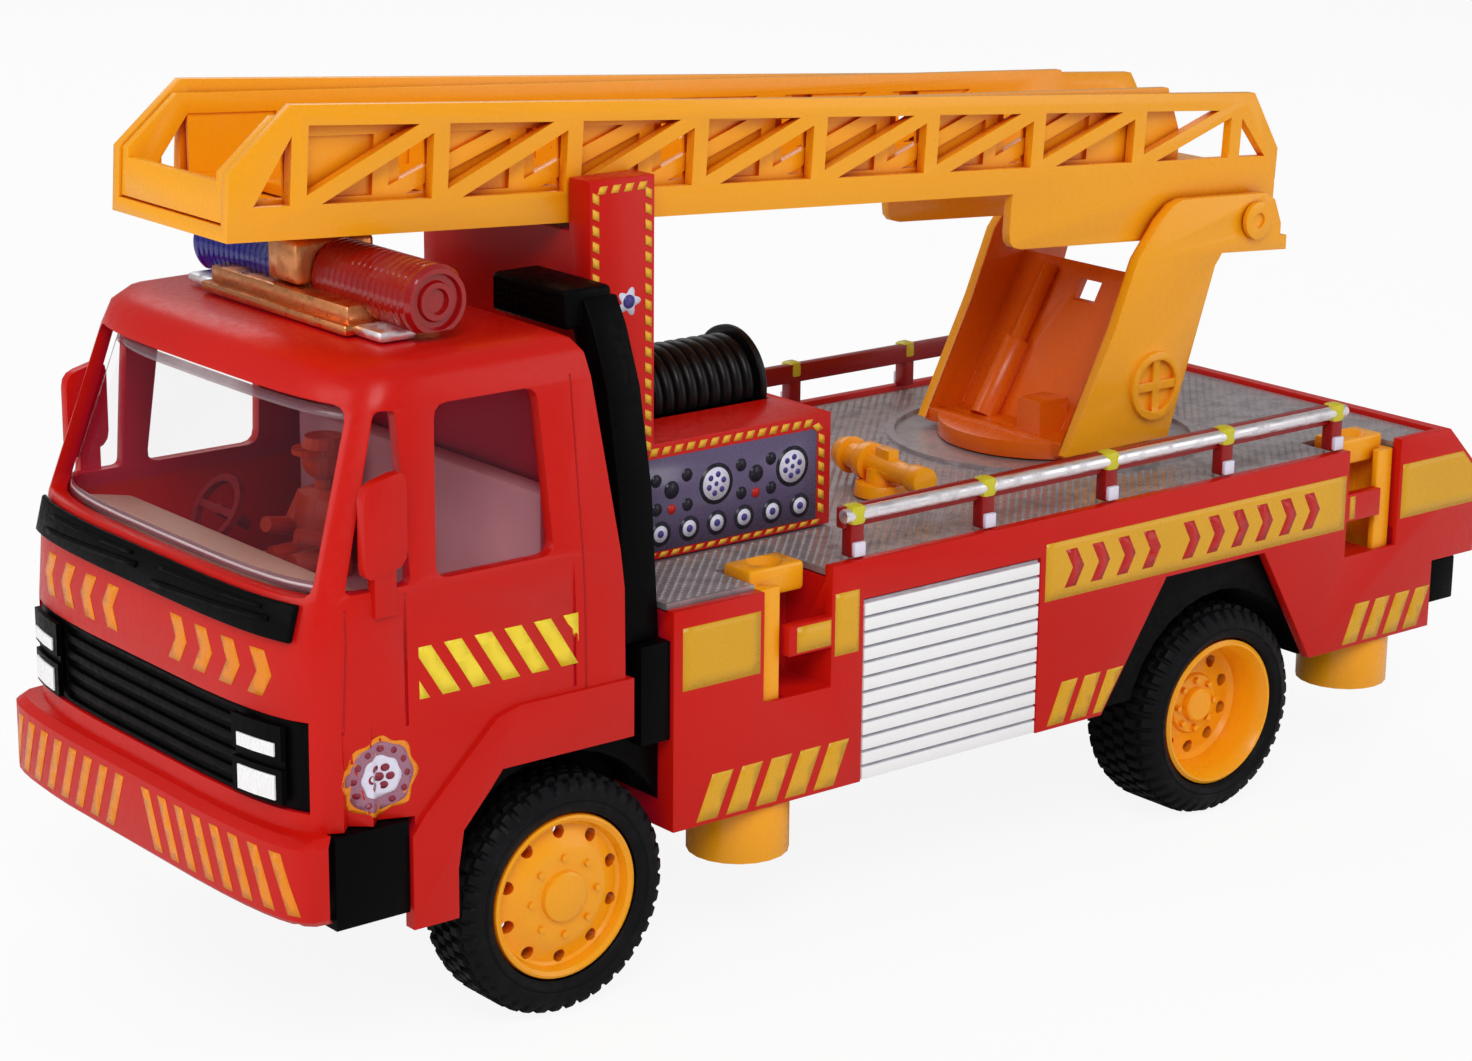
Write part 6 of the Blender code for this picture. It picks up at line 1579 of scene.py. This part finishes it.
@dataclass
class Body:
    """The rear body, the pump box, the jacks and the black underparts."""

    shop: Workshop

    def build(self) -> None:
        """Rounds and paints the mouldings."""
        self.shop.softened("rear_body", "red_plastic", 0.35 * MM, "red_plastic")
        self.shop.softened("ladder_rest", "red_plastic", 0.35 * MM, "red_plastic")
        for side in Side:
            self.shop.softened(f"shutter_{side.label}", "shutter_white", 0.12 * MM, "shutter_white")
        for node in ("chassis", "tail_beam"):
            self.shop.softened(node, "black_plastic", 0.3 * MM, "black_plastic")
        self.shop.softened("deck_monitor", "yellow_plastic", 0.25 * MM, "yellow_plastic")
        for end in ("front", "rear"):
            for side in Side:
                self.shop.softened(f"jack_{end}_{side.label}", "yellow_plastic", 0.3 * MM, "yellow_plastic")


@dataclass
class Foils:
    """The printed foils: plain fields, hazard stripes, dials and borders."""

    shop: Workshop
    outside: float = 60.0 * MM
    beside: float = 0.6
    slant: float = 3.2 * MM

    def lay(
        self,
        label: str,
        side: Side,
        shapes: Iterable[Outline],
        node: str,
        paint: str,
        lift: float = FOIL_LIFT,
        cell: float = FOIL_CELL,
    ) -> None:
        """Lays a foil on one side of the truck.

        Args:
            label: The piece's name, to which the side is added.
            side: The truck's side.
            shapes: Outlines as (x, z), in metres.
            node: The CAD node under it.
            paint: The name of its finish.
            lift: How far it stands off the node.
            cell: The size of its facets.
        """
        start = self.outside * side.value * (self.beside if node == "ladder_rest" else 1.0)
        self.shop.foil(f"{label}_{side.label}", shapes, node, Facing.SIDEWAYS, start, paint, lift, cell)

    def build(self) -> None:
        """Lays every foil on both sides."""
        for side in Side:
            self.body_fields(side)
            self.hazard_bars(side)
            self.door_stripes(side)
            self.roundel(side)
            self.pump_panel(side)
            self.tower_border(side)
        self.bumper_chevrons()

    def bars(
        self, low_x: float, high_x: float, low_z: float, high_z: float, count: int, share: float, lean: float
    ) -> list[Outline]:
        """Gives slanted bars that fill a band.

        Args:
            low_x: The band's front.
            high_x: The band's rear.
            low_z: Its lower edge.
            high_z: Its upper edge.
            count: The number of bars.
            share: The share of the pitch that a bar fills.
            lean: How far the tops lie behind the feet.

        Returns:
            The bars' outlines.
        """
        pitch = (high_x - low_x - abs(lean)) / (count - 1 + share)
        start = low_x + (abs(lean) if lean < 0 else 0.0)
        shapes = []
        for k in range(count):
            x = start + pitch * k
            wide = pitch * share
            shapes.append([(x, low_z), (x + wide, low_z), (x + wide + lean, high_z), (x + lean, high_z)])
        return shapes

    def body_fields(self, side: Side) -> None:
        """Lays the plain ochre fields of the body's side, and the arrows on the longest.

        Args:
            side: The truck's side.
        """
        fields = {
            "sign": [(18.1, 47.8), (92.3, 47.8), (92.3, 57.8), (18.1, 57.8)],
            "front": [(-58.3, 47.6), (-43.0, 47.6), (-43.0, 57.7), (-58.3, 57.7)],
            "post": [(-27.8, 47.3), (-22.8, 47.3), (-22.8, 57.6), (-27.8, 57.6)],
            "catch": [(-35.6, 49.4), (-28.6, 49.4), (-28.6, 53.6), (-35.6, 53.6)],
            "tail": [(107.6, 47.2), (128.4, 47.2), (128.4, 53.2), (124.4, 57.4), (107.6, 57.4)],
            "tail_catch": [(95.0, 49.4), (93.6, 49.4), (93.6, 53.6), (95.0, 53.6)],
        }
        arrow = ((0, 49.5), (2.6, 49.5), (4.4, 52.8), (2.6, 56.1), (0, 56.1), (1.8, 52.8))
        marks = []
        for k in range(10):
            x = (22.6 + 6.1 * k + (3.6 if k > 3 else 0.0)) * MM
            marks.append([(x + dx * MM, z * MM) for dx, z in arrow])
        self.lay("sign_marks", side, marks, "rear_body", "foil_red", 0.055 * MM)
        for label, shape in fields.items():
            self.lay(f"foil_{label}", side, [metres(shape)], "rear_body", "foil_ochre", 0.03 * MM)

    def hazard_bars(self, side: Side) -> None:
        """Lays the three runs of slanted bars along the sill.

        Args:
            side: The truck's side.
        """
        runs = (("front", -55.5, -24.4, 5), ("middle", 19.6, 37.4, 3), ("rear", 93.6, 117.2, 4))
        for label, low, high, count in runs:
            shapes = self.bars(low * MM, high * MM, 25.7 * MM, 33.0 * MM, count, 0.70, self.slant)
            if label == "middle":
                shapes = [self.clipped(shape) for shape in shapes]
            self.lay(f"hazard_{label}", side, shapes, "rear_body", "foil_ochre", 0.03 * MM)

    @staticmethod
    def clipped(shape: Outline) -> Outline:
        """Keeps a bar in front of the wheel arch's slope.

        Args:
            shape: The bar's outline.

        Returns:
            The outline with no corner behind the slope.
        """
        kept = []
        for x, z in shape:
            limit = (32.1 + (z / MM - 25.0) * 14.6 / 22.0) * MM
            kept.append((min(x, limit), z))
        return kept

    def door_stripes(self, side: Side) -> None:
        """Lays the yellow stripes on the door, leaning the other way.

        Args:
            side: The truck's side.
        """
        shapes = self.bars(-111.8 * MM, -72.0 * MM, 55.8 * MM, 63.6 * MM, 7, 0.58, -4.9 * MM)
        low, high = -105.6 * MM, -77.2 * MM
        shapes = [self.trimmed(self.trimmed(shape, low, 1.0), high, -1.0) for shape in shapes]
        shapes = [shape for shape in shapes if len(shape) > 2]
        self.lay("door_stripes", side, shapes, "cab_shell", "foil_yellow")

    @staticmethod
    def trimmed(shape: Outline, limit: float, keep: float) -> Outline:
        """Cuts an outline along an upright line.

        Args:
            shape: The outline.
            limit: Where the line stands.
            keep: 1 keeps what lies behind the line, -1 what lies in front of it.

        Returns:
            What is kept, which may be empty.
        """
        kept = []
        for (x1, z1), (x2, z2) in zip(shape, list(shape[1:]) + [shape[0]]):
            first, second = keep * (x1 - limit), keep * (x2 - limit)
            if first >= 0:
                kept.append((x1, z1))
            if first * second < 0:
                share = first / (first - second)
                kept.append((limit, z1 + (z2 - z1) * share))
        return kept

    def disc(
        self, x: float, z: float, radius: float, points: int = 32, scallop: float = 0.0, lobes: int = 8
    ) -> Outline:
        """Gives a round or scalloped outline.

        Args:
            x: Its centre along the side.
            z: Its centre's height.
            radius: Its radius.
            points: The number of corners.
            scallop: The share of the radius that its lobes take.
            lobes: The number of lobes.

        Returns:
            The outline.
        """
        shape = []
        for k in range(points):
            angle = 2 * math.pi * k / points
            reach = radius * (1 - scallop * (0.5 - 0.5 * math.cos(lobes * angle)))
            shape.append((x + reach * math.cos(angle), z + reach * math.sin(angle)))
        return shape

    def roundel(self, side: Side) -> None:
        """Lays the plain round mark behind the bumper.

        Args:
            side: The truck's side.
        """
        x, z = -112.5 * MM, 45.4 * MM

        def ring_of(count: int, reach: float, radius: float, points: int) -> list[Outline]:
            """Gives small discs in a ring about the middle.

            Args:
                count: The number of discs.
                reach: How far they are from the middle.
                radius: The radius of each.
                points: The corners of each.

            Returns:
                The discs' outlines.
            """
            shapes = []
            for k in range(count):
                angle = k * math.pi / (count / 2)
                shapes.append(self.disc(x + reach * math.cos(angle), z + reach * math.sin(angle), radius, points))
            return shapes

        lobes = ring_of(12, 4.4 * MM, 0.5 * MM, 14)
        petals = ring_of(6, 1.6 * MM, 0.62 * MM, 16)
        layers = (
            ("rim", [self.disc(x, z, 6.4 * MM, 64, 0.12)], "foil_orange"),
            ("ring", [self.disc(x, z, 5.5 * MM, 48, 0.06)], "foil_mauve"),
            ("lobes", lobes, "foil_plum"),
            ("field", [self.disc(x, z, 3.4 * MM, 40, 0.08)], "foil_white"),
            ("petals", petals, "foil_plum"),
            ("dot", [self.disc(x, z, 0.7 * MM, 20)], "foil_plum"),
        )
        for number, (label, shapes, paint) in enumerate(layers):
            self.lay(f"roundel_{label}", side, shapes, "cab_shell", paint, (0.07 + 0.06 * number) * MM, 1.0 * MM)

    def pump_panel(self, side: Side) -> None:
        """Lays the instrument panel on the pump box.

        Args:
            side: The truck's side.
        """

        def lay(label: str, shapes: list[Outline], paint: str, lift: float) -> None:
            """Lays one layer of the panel."""
            outlines = [metres(shape) for shape in shapes]
            self.lay(f"panel_{label}", side, outlines, "ladder_rest", paint, lift * MM, UNBROKEN)

        lay("field", [[(-58.6, 62.9), (-13.9, 62.9), (-13.9, 77.4), (-14.6, 78.1), (-58.6, 78.1)]], "foil_panel", 0.05)
        rings, pale, dark, dots, hubs = [], [], [], [], []
        knobs = ((-3.1, 2.0, 1.05), (3.1, 2.1, 1.05), (0.0, 0.1, 1.45), (-3.0, -2.7, 1.05), (3.2, -2.8, 1.05))
        for x, z in ((-34.9, 72.2), (-19.1, 72.6), (-53.0, 72.0)):
            rings.append(self.disc(x, z, 3.4, 36))
            pale.append(self.disc(x, z, 2.7, 32))
            for k in range(6):
                angle = math.pi * k / 3 + 0.3
                hubs.append(self.disc(x + 1.55 * math.cos(angle), z + 1.55 * math.sin(angle), 0.50, 12))
            hubs.append(self.disc(x, z, 0.42, 12))
        for x in (-46.1, -40.3, -34.7, -29.1, -23.2, -17.4, -52.0, -57.0 + 0.6):
            rings.append(self.disc(x, 65.7, 2.05, 28))
            pale.append(self.disc(x, 65.7, 1.35, 22))
            hubs.append(self.disc(x, 65.7, 0.62, 14))
        for middle in (-43.9, -26.7):
            for dx, dz, radius in knobs:
                dark.append(self.disc(middle + dx, 72.5 + dz, radius, 20))
            dots.append(self.disc(middle, 69.4, 0.85, 18))
        lay("rings", rings, "foil_dark", 0.10)
        lay("dials", pale, "foil_white", 0.15)
        lay("knobs", dark, "foil_dark", 0.15)
        lay("dots", dots, "foil_red", 0.15)
        lay("hubs", hubs, "foil_blue", 0.20)

    def tower_border(self, side: Side) -> None:
        """Lays the dashed border up the tower and round the pump box, and a plain mark.

        Args:
            side: The truck's side.
        """
        run = [
            (-58.7, 79.6), (-58.7, 121.8), (-48.6, 121.8), (-48.6, 79.2), (-14.6, 79.2), (-12.9, 77.4), (-12.9, 63.4)
        ]
        shapes = self.dashes((-12.9, 62.35), (-58.7, 62.35), 0.75)
        for first, second in zip(run, run[1:]):
            shapes += self.dashes(first, second)
        x, z = -52.4, 104.0
        layers = (
            ("rest_dashes", shapes, "foil_dash", 0.09),
            ("rest_mark", [self.disc(x, z, 2.3, 50, 0.40, 5)], "foil_white", 0.07),
            ("rest_mark_heart", [self.disc(x, z, 1.1, 24)], "foil_blue", 0.12),
        )
        for label, outlines, paint, lift in layers:
            self.lay(label, side, [metres(shape) for shape in outlines], "ladder_rest", paint, lift * MM, UNBROKEN)

    @staticmethod
    def dashes(
        first: tuple[float, float],
        second: tuple[float, float],
        band: float = 1.2,
        pitch: float = 2.45,
        dash: float = 1.45,
    ) -> list[Outline]:
        """Gives the slanted dashes along a straight line.

        Args:
            first: Where the line starts, in millimetres.
            second: Where it ends.
            band: The dashes' width.
            pitch: The step from dash to dash.
            dash: The length of a dash.

        Returns:
            The dashes.
        """
        start, end = Vector(first), Vector(second)
        along = (end - start).normalized()
        across = Vector((-along.y, along.x)) * band / 2
        count = max(round((end - start).length / pitch), 1)
        step = (end - start).length / count
        shapes = []
        for k in range(count):
            low = start + along * (step * (k + 0.5) - dash / 2)
            high = low + along * dash
            skew = along * 0.3
            shape = (low - across - skew, high - across - skew, high + across + skew, low + across + skew)
            shapes.append([tuple(corner) for corner in shape])
        return shapes

    def bumper_chevrons(self) -> None:
        """Lays the bumper's slanted stripes, mirrored about the middle."""
        shapes = []
        for sign in (-1, 1):
            for k in range(8):
                foot = (2.6 + 4.9 * k) * MM
                wide, lean = 2.4 * MM, 3.6 * MM
                corners = [(foot + lean, 27.0), (foot + lean + wide, 27.0), (foot + wide, 36.0), (foot, 36.0)]
                shapes.append([(sign * min(y, 42.6 * MM), z * MM) for y, z in corners])
        self.shop.foil("bumper_stripes", shapes, "cab_shell", Facing.FORWARD, -0.2, "foil_orange", cell=1.5 * MM)


@dataclass
class Studio:
    """Floor, soft lights and the camera."""

    eye: Point = (-0.3652, -0.4342, 0.2137)
    target: Point = (-0.0122, 0.0, 0.0554)
    roll_deg: float = 0.583
    lens_mm: float = 83.75

    def build(self) -> None:
        """Sets the studio up."""
        scene = bpy.context.scene
        scene.view_settings.view_transform = "Standard"
        self.floor()
        self.world()
        self.lamp("key", (-0.55, -0.75, 0.85), 0.55, 6.0)
        self.lamp("front", (-1.00, 0.25, 0.45), 0.55, 2.7)
        self.lamp("fill", (0.85, -0.80, 0.50), 0.80, 2.8)
        self.lamp("back", (0.30, 0.90, 0.90), 0.80, 3.4)
        self.camera()

    def floor(self) -> None:
        """Lays a plain pale floor that keeps the shadow."""
        graph = Graph("studio_floor")
        speck = graph.noise(graph.place(), 6.0, 2.0, 0.5)
        colour = graph.blend(speck, srgb(246, 246, 246), srgb(250, 250, 250))
        matt = graph.add("ShaderNodeBsdfDiffuse", None, {"Color": colour})
        glow = graph.add("ShaderNodeEmission", None, {"Color": srgb(252, 252, 252), "Strength": 1.03})
        node = graph.tree.nodes.new("ShaderNodeLightPath")
        seen = Field(graph, node.outputs["Is Camera Ray"])
        seen = seen.larger(Field(graph, node.outputs["Is Transmission Ray"]))
        mixed = graph.add("ShaderNodeMixShader", None, {0: seen * 0.90, 1: matt, 2: glow})
        graph.tree.links.new(mixed.socket, graph.output.inputs[0])
        mesh = bmesh.new()
        bmesh.ops.create_circle(mesh, cap_ends=True, segments=64, radius=6.0)
        data = bpy.data.meshes.new("floor")
        mesh.to_mesh(data)
        mesh.free()
        data.materials.append(graph.material)
        made = bpy.data.objects.new("floor", data)
        made.location.z = -0.0002
        bpy.context.scene.collection.objects.link(made)
        made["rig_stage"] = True

    def world(self) -> None:
        """Gives a soft grey light, and a white backdrop to what sees it straight."""
        world = bpy.data.worlds.new("studio")
        bpy.context.scene.world = world
        world.use_nodes = True
        tree = world.node_tree
        tree.nodes.clear()
        path = tree.nodes.new("ShaderNodeLightPath")
        soft, plain = tree.nodes.new("ShaderNodeBackground"), tree.nodes.new("ShaderNodeBackground")
        soft.inputs[0].default_value, soft.inputs[1].default_value = (1.0, 1.0, 1.0, 1.0), 0.32
        plain.inputs[0].default_value, plain.inputs[1].default_value = srgb(250, 250, 250), 1.0
        both = tree.nodes.new("ShaderNodeMath")
        both.operation = "MAXIMUM"
        tree.links.new(path.outputs["Is Camera Ray"], both.inputs[0])
        tree.links.new(path.outputs["Is Transmission Ray"], both.inputs[1])
        mix, output = tree.nodes.new("ShaderNodeMixShader"), tree.nodes.new("ShaderNodeOutputWorld")
        tree.links.new(both.outputs[0], mix.inputs[0])
        tree.links.new(soft.outputs[0], mix.inputs[1])
        tree.links.new(plain.outputs[0], mix.inputs[2])
        tree.links.new(mix.outputs[0], output.inputs[0])

    def lamp(self, name: str, place: Point, size: float, power: float) -> None:
        """Hangs one soft square lamp that faces the truck.

        Args:
            name: Its name.
            place: Where it hangs.
            size: Its width.
            power: Its power in watts.
        """
        light = bpy.data.lights.new(name, "AREA")
        light.size = size
        light.energy = power
        made = bpy.data.objects.new(name, light)
        made.location = place
        made.rotation_euler = (Vector((0.0, 0.0, 0.06)) - Vector(place)).to_track_quat("-Z", "Y").to_euler()
        bpy.context.scene.collection.objects.link(made)

    def camera(self) -> None:
        """Places the camera as the photograph was taken."""
        eye, target = Vector(self.eye), Vector(self.target)
        ahead = (target - eye).normalized()
        right = ahead.cross(Vector((0, 0, 1))).normalized()
        up = right.cross(ahead)
        roll = math.radians(self.roll_deg)
        image_right = math.cos(roll) * right + math.sin(roll) * up
        image_up = -math.sin(roll) * right + math.cos(roll) * up
        turn = Matrix((image_right, image_up, -ahead)).transposed().to_4x4()
        data = bpy.data.cameras.new("camera")
        data.lens = self.lens_mm
        data.sensor_width = 36.0
        data.clip_start = 0.01
        made = bpy.data.objects.new("camera", data)
        made.matrix_world = Matrix.Translation(eye) @ turn
        bpy.context.scene.collection.objects.link(made)
        bpy.context.scene.camera = made


def corners(bounds: object) -> list[list[float]]:
    """Turns a box into plain lists of numbers."""
    return [[float(value) for value in corner] for corner in bounds]


def main() -> None:
    """Builds the truck's pieces in order and logs once when all are built."""
    logging.basicConfig(level=logging.INFO, format="%(message)s")
    paints = Paints().mix()
    shop = Workshop(paints)
    for assembly in (Wheels, Cab, LightBar, AirIntake, Rails, HoseReel, Deck, Ladder, Body, Foils):
        assembly(shop).build()
    Studio().build()
    {"cad": corners(CAD_BOX), "visual": corners(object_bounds())}
    LOG.info("all pieces built")


if __name__ == "__main__":
    main()
